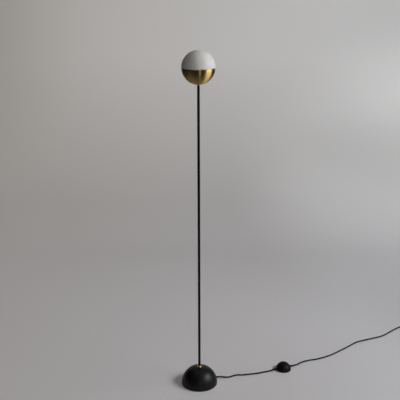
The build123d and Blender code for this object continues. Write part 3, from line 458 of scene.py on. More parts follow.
# %% A tree that twists three cores along a line
CORE_POINTS, WELD = 13, 0.000002
flex_tree, given, gives = shape_tree(
    "twisted_flex",
    [
        ("Cores", WHOLE, 3),
        ("Core Radius", FLOAT, 0.00179),
        ("Twist Radius", FLOAT, 0.00205),
        ("Twist Length", FLOAT, 0.060),
        ("Step", FLOAT, 0.002),
    ],
)
line, run = evened(flex_tree, given["Geometry"], given["Step"])
turn = math(flex_tree, "MULTIPLY", math(flex_tree, "DIVIDE", run, given["Twist Length"]), tau)
twisted = add_node(flex_tree, "GeometryNodeSetCurveTilt", Curve=line, Tilt=turn)
core_ring = {"Resolution": CORE_POINTS, "Radius": given["Core Radius"], "Sweep_Angle": tau}
ring = add_node(flex_tree, "GeometryNodeCurveArc", **core_ring)
core, around_core = ringed(flex_tree, ring)
twist_ring = {"Resolution": given["Cores"], "Radius": given["Twist Radius"]}
centres = add_node(flex_tree, "GeometryNodeCurvePrimitiveCircle", **twist_ring)
cores = add_node(flex_tree, "GeometryNodeInstanceOnPoints", Points=centres, Instance=core)
profile = add_node(flex_tree, "GeometryNodeRealizeInstances", Geometry=cores)
skin = swept(flex_tree, twisted, profile, False)
skin = mapped(flex_tree, skin, around_core, run)
closed = add_node(flex_tree, "GeometryNodeMergeByDistance", Geometry=skin, Distance=WELD)
end_tree(flex_tree, closed, given, gives)


# %% Helpers for lines and pieces
def laid_line(name, points):
    """Makes one smooth spline with the given control points."""
    curve = bpy.data.curves.new(name, "CURVE")
    curve.dimensions = "3D"
    curve.resolution_u = 12
    spline = curve.splines.new("NURBS")
    spline.points.add(len(points) - 1)
    for point, place in zip(spline.points, points):
        point.co = (*place, 1)
    spline.order_u = 3
    spline.use_endpoint_u = True
    line = bpy.data.objects.new(name, curve)
    scene.collection.objects.link(line)
    return line


def evaluated_mesh(maker, name):
    """Turns an object with its modifiers into a plain mesh."""
    depsgraph = bpy.context.evaluated_depsgraph_get()
    mesh = bpy.data.meshes.new_from_object(maker.evaluated_get(depsgraph), depsgraph=depsgraph)
    mesh.name = name
    return mesh


def set_inputs(modifier, **values):
    """Sets a tree's named inputs through their identifiers."""
    for socket in modifier.node_group.interface.items_tree:
        label = socket.name.replace(" ", "_")
        if socket.in_out == "INPUT" and label in values:
            modifier[socket.identifier] = values[label]


def closed_ends(mesh):
    """Fills the open ends of a mesh."""
    work = bmesh.new()
    work.from_mesh(mesh)
    bmesh.ops.holes_fill(work, edges=[edge for edge in work.edges if edge.is_boundary], sides=0)
    bmesh.ops.recalc_face_normals(work, faces=work.faces)
    work.to_mesh(mesh)
    work.free()


def add_piece(mesh, slot, body="lamp", stands_for=()):
    """Makes an object of a mesh, with its finish, its body and the solids that it stands for."""
    piece = bpy.data.objects.new(mesh.name, mesh)
    scene.collection.objects.link(piece)
    mesh.materials.clear()
    mesh.materials.append(finishes[slot])
    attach(piece, body)
    if stands_for:
        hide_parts(*stands_for)
    print("piece:", piece.name, len(mesh.polygons), "faces on", body)
    return piece


SWEPT_EDGE = radians(50)


def dressed_line(name, points, tree, slot, where):
    """Runs a tree on a line, and puts the mesh that comes out in its place."""
    line = laid_line(name + "_line", points)
    modifier = line.modifiers.new(name, "NODES")
    modifier.node_group = tree
    set_inputs(modifier, Finish=finishes[slot])
    mesh = evaluated_mesh(line, name)
    bpy.data.objects.remove(line)
    mesh.transform(where)
    mesh.set_sharp_from_angle(angle=SWEPT_EDGE)
    return mesh


# %% Lay the flex
def laid_flex(name, points, stands_for):
    """Makes a twisted flex along a line, and gives it with the points of the line."""
    line = laid_line(name + "_route", points)
    path = [vertex.co.copy() for vertex in evaluated_mesh(line, name + "_path").vertices]
    bpy.data.objects.remove(line)
    mesh = dressed_line(name, points, flex_tree, "black_braid", Matrix())
    closed_ends(mesh)
    length = sum((after - before).length for before, after in zip(path, path[1:]))
    print("line:", name, round(length, 3), "m")
    return add_piece(mesh, "black_braid", stands_for=stands_for), path


switch_flex, switch_path = laid_flex("flex_to_switch", line_to_switch, ["cord_to_switch"])
plug_flex, plug_path = laid_flex("flex_to_plug", line_to_plug, ["cord_to_coil", "cord_coil", "cord_to_plug"])

# %% [markdown]
# ## Turned pieces
#
# Most of the lamp is round: the foot, the collar, the pole, the cup, the ball, the switch and the plug.
# A section that is spun round an axis gives all of them.
# The solids show small flats on close views, so these pieces are spun again, finer and with eased edges.
# The section is a closed line of corners, each with its own ease.

# %% A helper that spins a section
TURNS = 160
EASE_STEPS, SAME_POINT, ON_AXIS = 4, 1e-6, 1e-7
TURNED_EDGE = radians(38)


def ball(radius, low, high, steps, low_ease=0, high_ease=0):
    """Gives corners along a ball's outline between two heights over its middle, with eases for its ends."""
    first, last = asin(max(-1, min(1, low / radius))), asin(max(-1, min(1, high / radius)))
    angles = [first + (last - first) * step / steps for step in range(steps + 1)]
    eases = [low_ease] + [0] * (steps - 1) + [high_ease]
    return [(max(0.0, radius * cos(angle)), radius * sin(angle), ease) for angle, ease in zip(angles, eases)]


def eased(corners):
    """Rounds each corner of a closed section by its own ease."""
    section = []
    for index, (reach, height, ease) in enumerate(corners):
        here = Vector((reach, height))
        if ease == 0:
            section.append(here)
            continue
        before = Vector(corners[index - 1][:2]) - here
        after = Vector(corners[(index + 1) % len(corners)][:2]) - here
        start = here + before.normalized() * min(ease, before.length / 2)
        end = here + after.normalized() * min(ease, after.length / 2)
        for step in range(EASE_STEPS + 1):
            share = step / EASE_STEPS
            section.append(start.lerp(here, share).lerp(here.lerp(end, share), share))
    return [point for index, point in enumerate(section) if (point - section[index - 1]).length > SAME_POINT]


def turned(name, corners, where=Matrix(), turns=TURNS):
    """Spins a closed section round the Z axis and puts it in its place."""
    section = eased(corners)
    work = bmesh.new()
    layer = work.loops.layers.uv.new("UVMap")
    circles, runs = [], [0.0]
    for index, (reach, height) in enumerate(section):
        runs.append(runs[-1] + (section[(index + 1) % len(section)] - section[index]).length)
        if reach < ON_AXIS:
            circles.append([work.verts.new((0, 0, height))] * turns)
        else:
            angles = [tau * step / turns for step in range(turns)]
            circles.append([work.verts.new((reach * cos(a), reach * sin(a), height)) for a in angles])
    for index, circle in enumerate(circles):
        following = circles[(index + 1) % len(circles)]
        for step in range(turns):
            after = (step + 1) % turns
            loop = [
                (circle[step], step, runs[index]),
                (circle[after], step + 1, runs[index]),
                (following[after], step + 1, runs[index + 1]),
                (following[step], step, runs[index + 1]),
            ]
            loop = [corner for spot, corner in enumerate(loop) if corner[0] is not loop[spot - 1][0]]
            if len(loop) < 3:
                continue
            face = work.faces.new([corner[0] for corner in loop])
            face.smooth = True
            for face_loop, corner in zip(face.loops, loop):
                face_loop[layer].uv = (corner[1] / turns, corner[2])
    bmesh.ops.recalc_face_normals(work, faces=work.faces)
    mesh = bpy.data.meshes.new(name)
    work.to_mesh(mesh)
    work.free()
    mesh.transform(where)
    mesh.set_sharp_from_angle(angle=TURNED_EDGE)
    return mesh


def at_height(height):
    """Gives the place of a piece on the lamp's axis."""
    return Matrix.Translation((0, 0, height))


# %% [markdown]
# ## The ball and the cup
#
# The glass is blown with a lip that drops inside the cup, and a shoulder that stops just above the rim.
# The rim of the cup is rounded over, and it catches the light as a fine line under the glass.

# %% Glass ball and brass cup
GLOBE_HEIGHT = 1.555
GLASS_RADIUS, GLASS_INNER, LIP_RADIUS = 0.0746, 0.0706, 0.07325
SHOULDER, LIP_BOTTOM = -0.0022, -0.0137
glass_section = [
    *ball(GLASS_RADIUS, SHOULDER, GLASS_RADIUS, 64, low_ease=0.0005)[::-1],
    *ball(LIP_RADIUS, LIP_BOTTOM, SHOULDER, 8, low_ease=0.0006)[::-1],
    *ball(GLASS_INNER, LIP_BOTTOM, GLASS_INNER, 48, low_ease=0.0006),
]
ball_mesh = turned("opal_ball", glass_section, at_height(GLOBE_HEIGHT))
add_piece(ball_mesh, "opal_glass", "globe", ["opal_globe"])

CUP_RADIUS, CUP_WALL, CUP_RIM = 0.075, 0.0012, -0.0025
CUP_FLAT_RADIUS, THREAD_HOLE = 0.011, 0.0051
cup_flat = -sqrt(CUP_RADIUS**2 - CUP_FLAT_RADIUS**2)
cup_section = [
    *ball(CUP_RADIUS, cup_flat, CUP_RIM, 56, low_ease=0.0008, high_ease=0.0006),
    *ball(CUP_RADIUS - CUP_WALL, cup_flat + CUP_WALL, CUP_RIM, 48, high_ease=0.0006)[::-1],
    (THREAD_HOLE, cup_flat + CUP_WALL, 0),
    (THREAD_HOLE, cup_flat, 0),
]
add_piece(turned("spun_cup", cup_section, at_height(GLOBE_HEIGHT)), "brass", "lamp", ["brass_cup"])

# %% [markdown]
# ## Neck, pole, collar and foot
#
# A short brass neck keeps the cup off the pole, and a flanged brass collar seats the pole on the foot.
# The foot is a heavy half ball with a small flat on its crown for the collar.

# %% Neck, pole and collar
FOOT_RADIUS, FOOT_INNER, FOOT_BOTTOM, CROWN_RADIUS = 0.0883, 0.0723, 0.0010, 0.0143
POLE_RADIUS, POLE_WALL, NECK_RADIUS, NECK_HEIGHT = 0.006, 0.001, 0.0056, 0.004
COLLAR_FLANGE, COLLAR_BOSS, COLLAR_FLOOR, COLLAR_HEIGHT, POLE_GAP = 0.0125, 0.008, 0.003, 0.009, 0.0001
crown = sqrt(FOOT_RADIUS**2 - CROWN_RADIUS**2)
collar_bottom = FOOT_BOTTOM + crown
pole_bottom = collar_bottom + COLLAR_FLOOR
cup_bottom = GLOBE_HEIGHT + cup_flat
pole_top = cup_bottom - NECK_HEIGHT


def tube_section(inner, outer, bottom, top, ease):
    """Gives the section of a plain ring with eased outer edges."""
    return [(inner, bottom, 0), (outer, bottom, ease), (outer, top, ease), (inner, top, 0)]


neck_section = tube_section(THREAD_HOLE, NECK_RADIUS, pole_top, cup_bottom, 0.0002)
add_piece(turned("neck", neck_section, turns=64), "brass", "lamp", ["neck_ring"])
pole_section = tube_section(POLE_RADIUS - POLE_WALL, POLE_RADIUS, pole_bottom, pole_top, 0.0004)
add_piece(turned("round_pole", pole_section, turns=96), "black_paint", "lamp", ["pole"])
collar_section = [
    (THREAD_HOLE, 0, 0),
    (COLLAR_FLANGE, 0, 0.0003),
    (COLLAR_FLANGE, COLLAR_FLOOR, 0.0012),
    (COLLAR_BOSS, COLLAR_FLOOR, 0.0010),
    (COLLAR_BOSS, COLLAR_HEIGHT, 0.0012),
    (POLE_RADIUS + POLE_GAP, COLLAR_HEIGHT, 0.0003),
    (POLE_RADIUS + POLE_GAP, COLLAR_FLOOR, 0),
    (THREAD_HOLE, COLLAR_FLOOR, 0),
]
collar_mesh = turned("collar", collar_section, at_height(collar_bottom), 96)
add_piece(collar_mesh, "brass", "lamp", ["pole_collar"])

# %% Foot
PLATE_RECESS, PLATE_THICKNESS, NUT_SEAT_RADIUS = 0.0828, 0.0025, 0.012
foot_section = [
    *ball(FOOT_RADIUS, 0, crown, 64, low_ease=0.0012, high_ease=0.0010),
    (THREAD_HOLE, crown, 0),
    (THREAD_HOLE, FOOT_INNER, 0),
    (NUT_SEAT_RADIUS, FOOT_INNER, 0),
    *ball(FOOT_INNER, PLATE_THICKNESS, sqrt(FOOT_INNER**2 - NUT_SEAT_RADIUS**2), 40)[::-1],
    (PLATE_RECESS, PLATE_THICKNESS, 0),
    (PLATE_RECESS, 0, 0.0004),
]
foot_mesh = turned("cast_foot", foot_section, at_height(FOOT_BOTTOM))
add_piece(foot_mesh, "black_casting", "lamp", ["base_casting"])

# %% [markdown]
# ## Foot switch
#
# The switch repeats the foot at a small size: a half ball whose cap is the push button.
# A narrow gap runs round the cap, and the cap stands a little proud of the shell.

# %% Shell and button
SWITCH_RADIUS, SWITCH_WALL, SWITCH_LIFT = 0.0383, 0.0025, 0.001
BUTTON_RADIUS, BUTTON_GAP, BUTTON_CAP, BUTTON_WALL = 0.024, 0.0005, 0.0391, 0.0025
at_switch = Matrix.Translation(switch_place + Vector((0, 0, SWITCH_LIFT)))
hole = BUTTON_RADIUS + BUTTON_GAP
switch_inner = SWITCH_RADIUS - SWITCH_WALL
shell_section = [
    *ball(SWITCH_RADIUS, 0, sqrt(SWITCH_RADIUS**2 - hole**2), 32, low_ease=0.0006, high_ease=0.0005),
    *ball(switch_inner, 0, sqrt(switch_inner**2 - hole**2), 24)[::-1],
]
shell = add_piece(turned("switch_dome", shell_section, at_switch), "black_plastic", "lamp", ["switch_shell"])

button_inner = BUTTON_CAP - BUTTON_WALL
skirt_inner = BUTTON_RADIUS - BUTTON_WALL
FLANGE_RADIUS, FLANGE_PLAY, FLANGE_THICKNESS = 0.0262, 0.0004, 0.002
BOSS_RADIUS, BOSS_DEPTH = 0.008, 0.003
STEM_RADIUS, STEM_BOTTOM = 0.003, 0.0135
flange_top = sqrt(switch_inner**2 - FLANGE_RADIUS**2) - FLANGE_PLAY
flange_bottom = flange_top - FLANGE_THICKNESS
boss_bottom = button_inner - BOSS_DEPTH
skirt_top, boss_top = sqrt(button_inner**2 - skirt_inner**2), sqrt(button_inner**2 - BOSS_RADIUS**2)
button_section = [
    *ball(BUTTON_CAP, sqrt(BUTTON_CAP**2 - BUTTON_RADIUS**2), BUTTON_CAP, 32, low_ease=0.0007),
    (0, STEM_BOTTOM, 0),
    (STEM_RADIUS, STEM_BOTTOM, 0),
    (STEM_RADIUS, boss_bottom, 0),
    (BOSS_RADIUS, boss_bottom, 0),
    *ball(button_inner, skirt_top, boss_top, 16)[::-1],
    (skirt_inner, flange_bottom, 0),
    (FLANGE_RADIUS, flange_bottom, 0),
    (FLANGE_RADIUS, flange_top, 0),
    (BUTTON_RADIUS, flange_top, 0),
]
button_mesh = turned("push_button", button_section, at_switch)
button = add_piece(button_mesh, "black_plastic", "button", ["switch_button"])

# %% [markdown]
# ## Spring of the button
#
# A wound spring pushes the button back up.
# It is the one piece that changes its shape when the button moves, so it gets a mesh of its own.
# A Geometry Nodes tree winds the wire round a line, as high as the line is long.

# %% A tree that winds a wire round a line
spring_tree, given, gives = shape_tree(
    "wound_wire",
    [
        ("Turns", FLOAT, 6.0),
        ("Radius", FLOAT, 0.0055),
        ("Wire Radius", FLOAT, 0.0005),
    ],
)
POINTS_A_TURN, ROUND_POINTS = 32, 12
rise = add_node(spring_tree, "GeometryNodeCurveLength", Curve=given["Geometry"])
winding = add_node(
    spring_tree,
    "GeometryNodeCurveSpiral",
    Resolution=POINTS_A_TURN,
    Rotations=given["Turns"],
    Start_Radius=given["Radius"],
    End_Radius=given["Radius"],
    Height=rise,
)
wire_ring = {"Resolution": ROUND_POINTS, "Radius": given["Wire Radius"]}
wire = add_node(spring_tree, "GeometryNodeCurvePrimitiveCircle", **wire_ring)
end_tree(spring_tree, swept(spring_tree, winding, wire), given, gives)

# %% Wind the spring
WIRE, PRESS_TRAVEL, SPRING_PLAY = 0.001, 0.003, 0.00005
spring_low, spring_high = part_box("button_spring")
spring_foot = Vector((switch_place.x, switch_place.y, spring_low[2] + WIRE / 2))
spring_rise = spring_high[2] - spring_low[2] - WIRE - SPRING_PLAY
spring_line = [(0, 0, spring_rise * share) for share in (0, 0.5, 1)]
spring_mesh = dressed_line("press_spring", spring_line, spring_tree, "steel", Matrix.Translation(spring_foot))
spring = add_piece(spring_mesh, "steel", "lamp", ["button_spring"])
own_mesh(spring)

# %% [markdown]
# ## Fittings on the flex
#
# A rubber bush guides the flex out of the foot, two grommets guide it through the switch, and a relief
# guides it into the plug.
# Each has a tapered nose with grooves that let it bend.
# The same section helper makes all of them, each spun on its own axis.
# A felt ring under the foot keeps it off the floor.


# %% Helpers for the fittings
def facing(place, way):
    """Gives the place of a piece whose axis starts somewhere and points some way."""
    return Matrix.Translation(place) @ Vector(way).to_track_quat("Z", "Y").to_matrix().to_4x4()


def grooved_nose(start, end, radii, count, width, depth):
    """Gives corners of a tapered nose with even grooves, from its root to its tip."""
    corners = []
    for groove in range(1, count + 1):
        share = groove / (count + 1)
        middle = start + (end - start) * share
        radius = radii[0] + (radii[1] - radii[0]) * share
        for reach, side in ((radius, -1), (radius - depth, -1), (radius - depth, 1), (radius, 1)):
            corners.append((reach, middle + side * width / 2, GROOVE_EASE))
    return corners + [(radii[1], end, TIP_EASE)]


def joined(name, meshes):
    """Puts several meshes into one."""
    work = bmesh.new()
    for mesh in meshes:
        work.from_mesh(mesh)
    whole = bpy.data.meshes.new(name)
    work.to_mesh(whole)
    work.free()
    return whole


GROOVE_EASE, TIP_EASE, BORE = 0.0002, 0.0006, 0.00365

# %% Bush and grommets
BUSH_INSIDE, BUSH_FACE, BUSH_FLANGE = 0.0693, 0.08583, 0.08733
BUSH_RADII, BUSH_FLANGE_RADIUS = (0.0054, 0.0047), 0.007
bush_section = [
    (BORE, BUSH_INSIDE, 0),
    (BUSH_RADII[0], BUSH_INSIDE, 0.0003),
    (BUSH_RADII[0], BUSH_FACE, 0),
    (BUSH_FLANGE_RADIUS, BUSH_FACE, 0.0002),
    (BUSH_FLANGE_RADIUS, BUSH_FLANGE, 0.0006),
    (BUSH_RADII[0], BUSH_FLANGE, 0.0002),
    *grooved_nose(BUSH_FLANGE, BUSH_TIP, BUSH_RADII, 2, 0.0010, 0.0005),
    (BORE, BUSH_TIP, GROOVE_EASE),
]
bush_place = facing((0, 0, gland.z), exit_way)
add_piece(turned("entry_bush", bush_section, bush_place, 64), "black_rubber", "lamp", ["cord_bush"])

GROMMET_INSIDE, GROMMET_FACE, GROMMET_WALL = 0.02587, 0.03187, 0.0371
GROMMET_RADII, GROMMET_FLANGE_RADIUS = (0.0052, 0.0046), 0.0062
grommet_section = [
    (BORE, GROMMET_INSIDE, 0),
    (GROMMET_FLANGE_RADIUS, GROMMET_INSIDE, 0.0003),
    (GROMMET_FLANGE_RADIUS, GROMMET_FACE, 0.0003),
    (GROMMET_RADII[0], GROMMET_FACE, 0),
    (GROMMET_RADII[0], GROMMET_WALL, 0),
    *grooved_nose(GROMMET_WALL, SWITCH_ENTRY, GROMMET_RADII, 2, 0.0010, 0.0004),
    (BORE, SWITCH_ENTRY, GROOVE_EASE),
]
grommet_pair = [
    turned("grommet", grommet_section, facing(switch_place + entry_height, switch_way * side), 64)
    for side in (-1, 1)
]
grommets = add_piece(joined("grommet_pair", grommet_pair), "black_rubber", "lamp", ["switch_grommets"])

# %% Relief and felt
RELIEF_LENGTH, RELIEF_RADII, RELIEF_MOUTH = 0.020, (0.0066, 0.0048), 0.002
plug_rear = RELIEF_END - Vector((0, RELIEF_LENGTH, 0))
relief_section = [
    (0, 0, 0),
    (RELIEF_RADII[0], 0, 0),
    *grooved_nose(0, RELIEF_LENGTH, RELIEF_RADII, 4, 0.0016, 0.0008),
    (BORE, RELIEF_LENGTH, GROOVE_EASE),
    (BORE, RELIEF_LENGTH - RELIEF_MOUTH, 0),
    (0, RELIEF_LENGTH - RELIEF_MOUTH, 0),
]
relief_mesh = turned("flex_relief", relief_section, facing(plug_rear, (0, 1, 0)), 64)
relief = add_piece(relief_mesh, "black_plastic", "lamp", ["plug_relief"])

FELT_INNER, FELT_OUTER, FELT_EDGE = 0.05233, 0.07233, 0.0004
felt_section = [
    (FELT_INNER, 0, FELT_EDGE),
    (FELT_OUTER, 0, FELT_EDGE),
    (FELT_OUTER, FOOT_BOTTOM, FELT_EDGE),
    (FELT_INNER, FOOT_BOTTOM, FELT_EDGE),
]
add_piece(turned("felt_ring", felt_section), "felt", "lamp", ["felt_pad"])

# %% [markdown]
# ## The strap round the coil
#
# A strip of hook-and-loop webbing keeps the spare flex together.
# It goes twice round the turns, and its loose end shows on top as a small step.
# The line of the strap is drawn flat, round a box with rounded corners, and a Geometry Nodes tree sweeps
# a flat profile along it.
# The sweep keeps the profile upright, because the line is turned into its place only afterwards.

# %% A tree that sweeps a flat strap along a line
strap_tree, given, gives = shape_tree(
    "flat_strap",
    [
        ("Width", FLOAT, 0.008),
        ("Thickness", FLOAT, 0.0004),
        ("Edge", FLOAT, 0.00012),
        ("Step", FLOAT, 0.0005),
    ],
)
line, run = evened(strap_tree, given["Geometry"], given["Step"])
upright = add_node(strap_tree, "GeometryNodeSetCurveNormal", {"mode": "Z_UP"}, Curve=line)
flat = {"Width": given["Thickness"], "Height": given["Width"]}
strip = add_node(strap_tree, "GeometryNodeCurvePrimitiveQuadrilateral", **flat)
rounding = {"Curve": strip, "Count": 2, "Radius": given["Edge"]}
soft_strip = add_node(strap_tree, "GeometryNodeFilletCurve", {"mode": "POLY"}, **rounding)
rim, around_strip = ringed(strap_tree, soft_strip)
webbing = mapped(strap_tree, swept(strap_tree, upright, rim), around_strip, run)
end_tree(strap_tree, webbing, given, gives)

# %% Wind the strap
TIE_MIDDLE = Vector((1.27975, 0.6465, 0.00855))
TIE_HALF_SPAN, TIE_HALF_RISE, TIE_ROUND = 0.0118, 0.00775, 0.0025
STRAP_THICKNESS, CORNER_STEPS = 0.0004, 6
STRAP_START, STRAP_LAPPED = 0.0035, 0.0045


def strap_corner(quadrant, offset):
    """Gives points round one corner of the strap's box, at some offset outside it."""
    across = (TIE_HALF_SPAN - TIE_ROUND) * (1, -1, -1, 1)[quadrant]
    upward = (TIE_HALF_RISE - TIE_ROUND) * (1, 1, -1, -1)[quadrant]
    angles = [(quadrant + step / CORNER_STEPS) * pi / 2 for step in range(CORNER_STEPS + 1)]
    reach = TIE_ROUND + offset
    return [(across + reach * cos(angle), upward + reach * sin(angle), 0) for angle in angles]


strap_line = []
for start, offset in ((STRAP_START, STRAP_THICKNESS / 2), (STRAP_LAPPED, STRAP_THICKNESS * 1.5)):
    strap_line.append((start, TIE_HALF_RISE + offset, 0))
    for quadrant in (1, 2, 3, 0):
        strap_line += strap_corner(quadrant, offset)

strap_place = Matrix.Translation(TIE_MIDDLE) @ Matrix.Rotation(pi / 2, 4, "X")
strap_mesh = dressed_line("coil_strap", strap_line, strap_tree, "tie_webbing", strap_place)
strap = add_piece(strap_mesh, "tie_webbing", "lamp", ["coil_tie"])

# %% [markdown]
# ## Grip of the plug
#
# The shoulder of the plug has raised ribs, so fingers can pull it.
# They are all the same, so a tree makes one rib along a short line and repeats it round the axis.

# %% A tree that repeats a rib round an axis
rib_tree, given, gives = shape_tree(
    "ribs_round_axis",
    [("Count", WHOLE, 24), ("Rib Radius", FLOAT, 0.0007)],
)
RIB_POINTS, RIB_TIP = 14, 0.05
points = {"Curve": given["Geometry"], "Count": RIB_POINTS}
even = add_node(rib_tree, "GeometryNodeResampleCurve", {"mode": "COUNT"}, **points)
share = add_node(rib_tree, "GeometryNodeSplineParameter").outputs["Factor"]
swell = math(rib_tree, "SQRT", math(rib_tree, "SINE", math(rib_tree, "MULTIPLY", share, pi)))
waist = math(rib_tree, "MAXIMUM", swell, RIB_TIP)
tapered = add_node(rib_tree, "GeometryNodeSetCurveRadius", Curve=even, Radius=waist)
rib_ring = {"Resolution": ROUND_POINTS, "Radius": given["Rib Radius"]}
round_rib = add_node(rib_tree, "GeometryNodeCurvePrimitiveCircle", **rib_ring)
rib = swept(rib_tree, tapered, round_rib)
spots = add_node(rib_tree, "GeometryNodeMeshCircle", Vertices=given["Count"], Radius=0.0)
step_angle = math(rib_tree, "DIVIDE", tau, given["Count"])
turn = math(rib_tree, "MULTIPLY", add_node(rib_tree, "GeometryNodeInputIndex"), step_angle)
facing_out = add_node(rib_tree, "ShaderNodeCombineXYZ", Z=turn)
stand = {"Points": spots, "Instance": rib, "Rotation": facing_out}
ribs = add_node(rib_tree, "GeometryNodeInstanceOnPoints", **stand)
end_tree(rib_tree, ribs, given, gives)

# %% Put the ribs on the shoulder
rib_line = [(0.0105, 0, 0.0016), (0.0138, 0, 0.0051), (0.0171, 0, 0.0085)]
rib_mesh = dressed_line("plug_grip", rib_line, rib_tree, "black_plastic", facing(plug_rear, (0, -1, 0)))
grip = add_piece(rib_mesh, "black_plastic")

SWITCH_INSIDES = ["switch_base", "switch_feet", "switch_screws", "switch_mechanism"]
SWITCH_INSIDES += ["switch_leads", "switch_grips", "grip_screws"]
print("cords:", "flex_to_switch and flex_to_plug")

# %% [markdown]
# ## Studio
#
# The lamp stands on a roll of grey paper that curves up behind it.
# A large soft light stands high to the right, a weak one hangs above, and the rest of the room is dark.
# The brass needs that dark room, because polished metal only shows what is round it.
# Two more panels are seen by reflections alone: one draws the broad streak on the cup, one the thin streak.
# A low warm light in front only fills the shaded side of the glass.
# The walls are there for reflections too: no camera sees them.
# The paper's own glow paints the light and shade that fell on it, a little brighter to the right and up the
# wall.

# %% Paper sweep
PAPER_HALF_WIDTH, PAPER_FRONT, PAPER_BACK, PAPER_CURVE, PAPER_TOP = 1.85, -0.6, 1.7, 1.2, 4.6
CURVE_STEPS = 24


def stage_sheet(name, corners, faces, material):
    """Makes a sheet of the studio, which is no part of the lamp."""
    mesh = bpy.data.meshes.new(name)
    mesh.from_pydata(corners, [], faces)
    mesh.materials.append(material)
    sheet = bpy.data.objects.new(name, mesh)
    scene.collection.objects.link(sheet)
    return sheet


def ruled_sheet(name, line, half_width, material):
    """Makes a smooth sheet by moving a line of (y, z) points along X."""
    corners = [(x, y, z) for x in (-half_width, half_width) for y, z in line]
    count = len(line)
    faces = [(i, i + count, i + count + 1, i + 1) for i in range(count - 1)]
    sheet = stage_sheet(name, corners, faces, material)
    sheet.data.shade_smooth()
    return sheet


curve_angles = [pi / 2 * step / CURVE_STEPS for step in range(CURVE_STEPS + 1)]
curve_line = [(PAPER_BACK + PAPER_CURVE * sin(a), PAPER_CURVE * (1 - cos(a))) for a in curve_angles]
paper_line = [(PAPER_FRONT, 0)] + curve_line + [(PAPER_BACK + PAPER_CURVE, PAPER_TOP)]
DULL = {"Roughness": 0.9, "Specular IOR Level": 0.1}
paper, tree, shader = new_material("grey_paper", **DULL)
paper_sheet = ruled_sheet("paper_sweep", paper_line, PAPER_HALF_WIDTH, paper)
print("paper:", len(paper_sheet.data.polygons), "strips")

# %% Colour of the paper
place = add_node(tree, "ShaderNodeTexCoord").outputs["Object"]
parts = add_node(tree, "ShaderNodeSeparateXYZ", Vector=place).outputs
# The far floor counts as a little higher than the near floor
FAR_RISE = 0.25
climb = math(tree, "MULTIPLY_ADD", parts["Y"], FAR_RISE, parts["Z"])


def ramp(value, low, high, at_low, at_high, settings=None):
    """Gives a value that goes from one level to another over a range."""
    levels = {"_1": low, "_2": high, "_3": at_low, "_4": at_high}
    return add_node(tree, "ShaderNodeMapRange", settings, _0=value, **levels)


def mixed(tree, share, first, second, blend="MIX"):
    """Mixes two colours."""
    settings = {"data_type": "RGBA", "blend_type": blend}
    return add_node(tree, "ShaderNodeMix", settings, Factor=share, _6=first, _7=second).outputs[2]


# Painted light colour: the paper is warmer to the left, where the light on it was warmer, and a little cooler
# on the floor
LEFT_TINT, RIGHT_TINT = (0.85, 0.812, 0.782, 1), (0.85, 0.848, 0.853, 1)
FLOOR_TINT = (1, 0.994, 1.025, 1)
tint = mixed(tree, ramp(parts["X"], -1.6, 1.2, 0.0, 1.0), LEFT_TINT, RIGHT_TINT)
cool = mixed(tree, ramp(climb, 0.2, 1.2, 1.0, 0.0), tint, FLOOR_TINT, "MULTIPLY")
feed(tree, cool, shader.inputs["Base Color"])
feed(tree, cool, shader.inputs["Emission Color"])
print("paper:", "warmer to the left, cooler on the floor")

# %% Painted light and shade on the paper
SMOOTH = {"interpolation_type": "SMOOTHSTEP"}
# Painted pools of light, and of shade where the strength is below zero: each patch has its middle across and
# up the paper, its half width, its half height and its strength
PAINTED_LIGHT_AND_SHADE = [
    (1.9, 0.75, 1.7, 0.75, 0.21),
    (2.1, 1.65, 1.5, 0.75, 0.22),
    (0.85, 1.1, 0.7, 0.95, 0.042),
    (1.35, 0.2, 0.5, 0.3, -0.045),
    (-2.0, 2.4, 1.2, 1.6, -0.08),
]
# Painted shade on the near floor, to the right of the middle
NEAR_SHADE = -0.03


def patch(x, climbed, wide, high):
    """Gives a soft oval on the paper, from 1 in its middle to 0 at its edge."""
    across = math(tree, "DIVIDE", math(tree, "SUBTRACT", parts["X"], x), wide)
    upward = math(tree, "DIVIDE", math(tree, "SUBTRACT", climb, climbed), high)
    spot = add_node(tree, "ShaderNodeCombineXYZ", X=across, Y=upward)
    reach = add_node(tree, "ShaderNodeVectorMath", {"operation": "LENGTH"}, Vector=spot)
    return ramp(reach.outputs["Value"], 0.0, 1.0, 1.0, 0.0, SMOOTH)


def seen_share(tree):
    """Gives 1 to the camera, to mirrors and to glass, and 0 to the light that falls on the lamp."""
    rays = add_node(tree, "ShaderNodeLightPath").outputs
    mirrored = math(tree, "MAXIMUM", rays["Is Glossy Ray"], rays["Is Transmission Ray"])
    return math(tree, "MAXIMUM", rays["Is Camera Ray"], mirrored)


# Painted light: the glow grows up the wall and slopes from left to right, and only the camera, mirrors and
# glass see it
rise = math(tree, "ADD", ramp(parts["Y"], 1.6, 2.3, 0.03, 0.008), ramp(parts["Z"], 0.2, 1.3, 0.0, 0.143))
drift = math(tree, "MULTIPLY_ADD", parts["X"], ramp(parts["Z"], 0.0, 1.3, -0.065, -0.02), rise)
near = math(tree, "MULTIPLY", ramp(parts["X"], -0.1, 0.3, 0.0, 1.0), ramp(parts["Y"], -0.1, 0.6, 1.0, 0.0))
painted_glow = math(tree, "MULTIPLY_ADD", near, NEAR_SHADE, drift)
for *oval, strength in PAINTED_LIGHT_AND_SHADE:
    painted_glow = math(tree, "MULTIPLY_ADD", patch(*oval), strength, painted_glow)
feed(tree, math(tree, "MULTIPLY", painted_glow, seen_share(tree)), shader.inputs["Emission Strength"])
clear = add_node(tree, "ShaderNodeBsdfTransparent")
behind = add_node(tree, "ShaderNodeNewGeometry").outputs["Backfacing"]
sided = add_node(tree, "ShaderNodeMixShader", _0=behind, _1=shader, _2=clear)
feed(tree, sided, tree.nodes["Material Output"].inputs["Surface"])
print("paper:", len(PAINTED_LIGHT_AND_SHADE), "patches of light and shade")


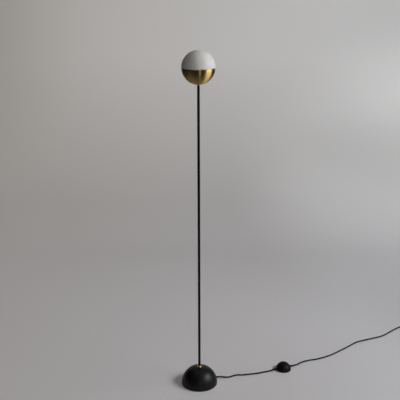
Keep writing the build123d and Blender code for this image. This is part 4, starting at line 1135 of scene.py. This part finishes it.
# %% Lights
def soft_light(name, place, target, width, height, radiance):
    """Adds a soft rectangular light that faces a point, with the brightness of its face."""
    data = bpy.data.lights.new(name, "AREA")
    data.shape = "RECTANGLE"
    data.size, data.size_y = width, height
    data.energy = radiance * pi * width * height
    light = bpy.data.objects.new(name, data)
    light.location = place
    light.rotation_euler = (Vector(target) - Vector(place)).to_track_quat("-Z", "Y").to_euler()
    light.visible_camera = False
    scene.collection.objects.link(light)
    print("light:", name, round(data.energy, 1), "W")
    return light


soft_light("right_panel", (3.02, -0.7, 2.65), (0, 0, 0.9), 2.7, 1.1, 8.5)
sheen = soft_light("right_sheen", (3.06, -0.45, 1.7), (0, 0, 1.5), 2.5, 1.3, 3.3)
sheen.visible_diffuse = False
sheen.data.color = (0.78, 0.87, 1)
soft_light("ceiling_panel", (0, 0.4, 3.4), (0, 0.4, 0), 3.0, 3.0, 0.35)
fill = soft_light("front_fill", (0.7, -3.2, 0.35), (0, 0, 1.5), 4.0, 0.6, 3.5)
fill.visible_glossy = False
fill.data.color = (1, 0.95, 0.84)
soft_light("front_strip", (0.66, -3.5, 1.6), (0, 0, 1.5), 0.16, 1.6, 8.0).visible_diffuse = False

# %% Dark room
ROOM = {"front": -4.5, "back": 3.2, "side": 4.2, "top": 5.0}
ROOM_FLOOR = -0.02
room_line = [(ROOM["back"], ROOM_FLOOR), (ROOM["front"], ROOM_FLOOR)]
room_line += [(ROOM["front"], ROOM["top"]), (ROOM["back"], ROOM["top"])]
DARK = (0.02, 0.02, 0.02, 1)
LIGHTLESS = {"Base Color": DARK, "Roughness": 1.0, "Specular IOR Level": 0.0}
dark_cloth = new_material("dark_cloth", **LIGHTLESS)[0]
ruled_sheet("dark_room", room_line + room_line[:1], ROOM["side"], dark_cloth).visible_camera = False
for side in (-ROOM["side"], ROOM["side"]):
    wall = stage_sheet("dark_wall", [(side, y, z) for y, z in room_line], [(0, 1, 2, 3)], dark_cloth)
    wall.visible_camera = False
print("room:", "seen by reflections only")

world = bpy.data.worlds.new("studio_world")
scene.world = world
world.use_nodes = True
tree = world.node_tree
PALE = (0.42, 0.41, 0.40, 1)
tone = mixed(tree, seen_share(tree), DARK, PALE)
feed(tree, tone, tree.nodes["Background"].inputs["Color"])
print("world:", "pale behind the paper")
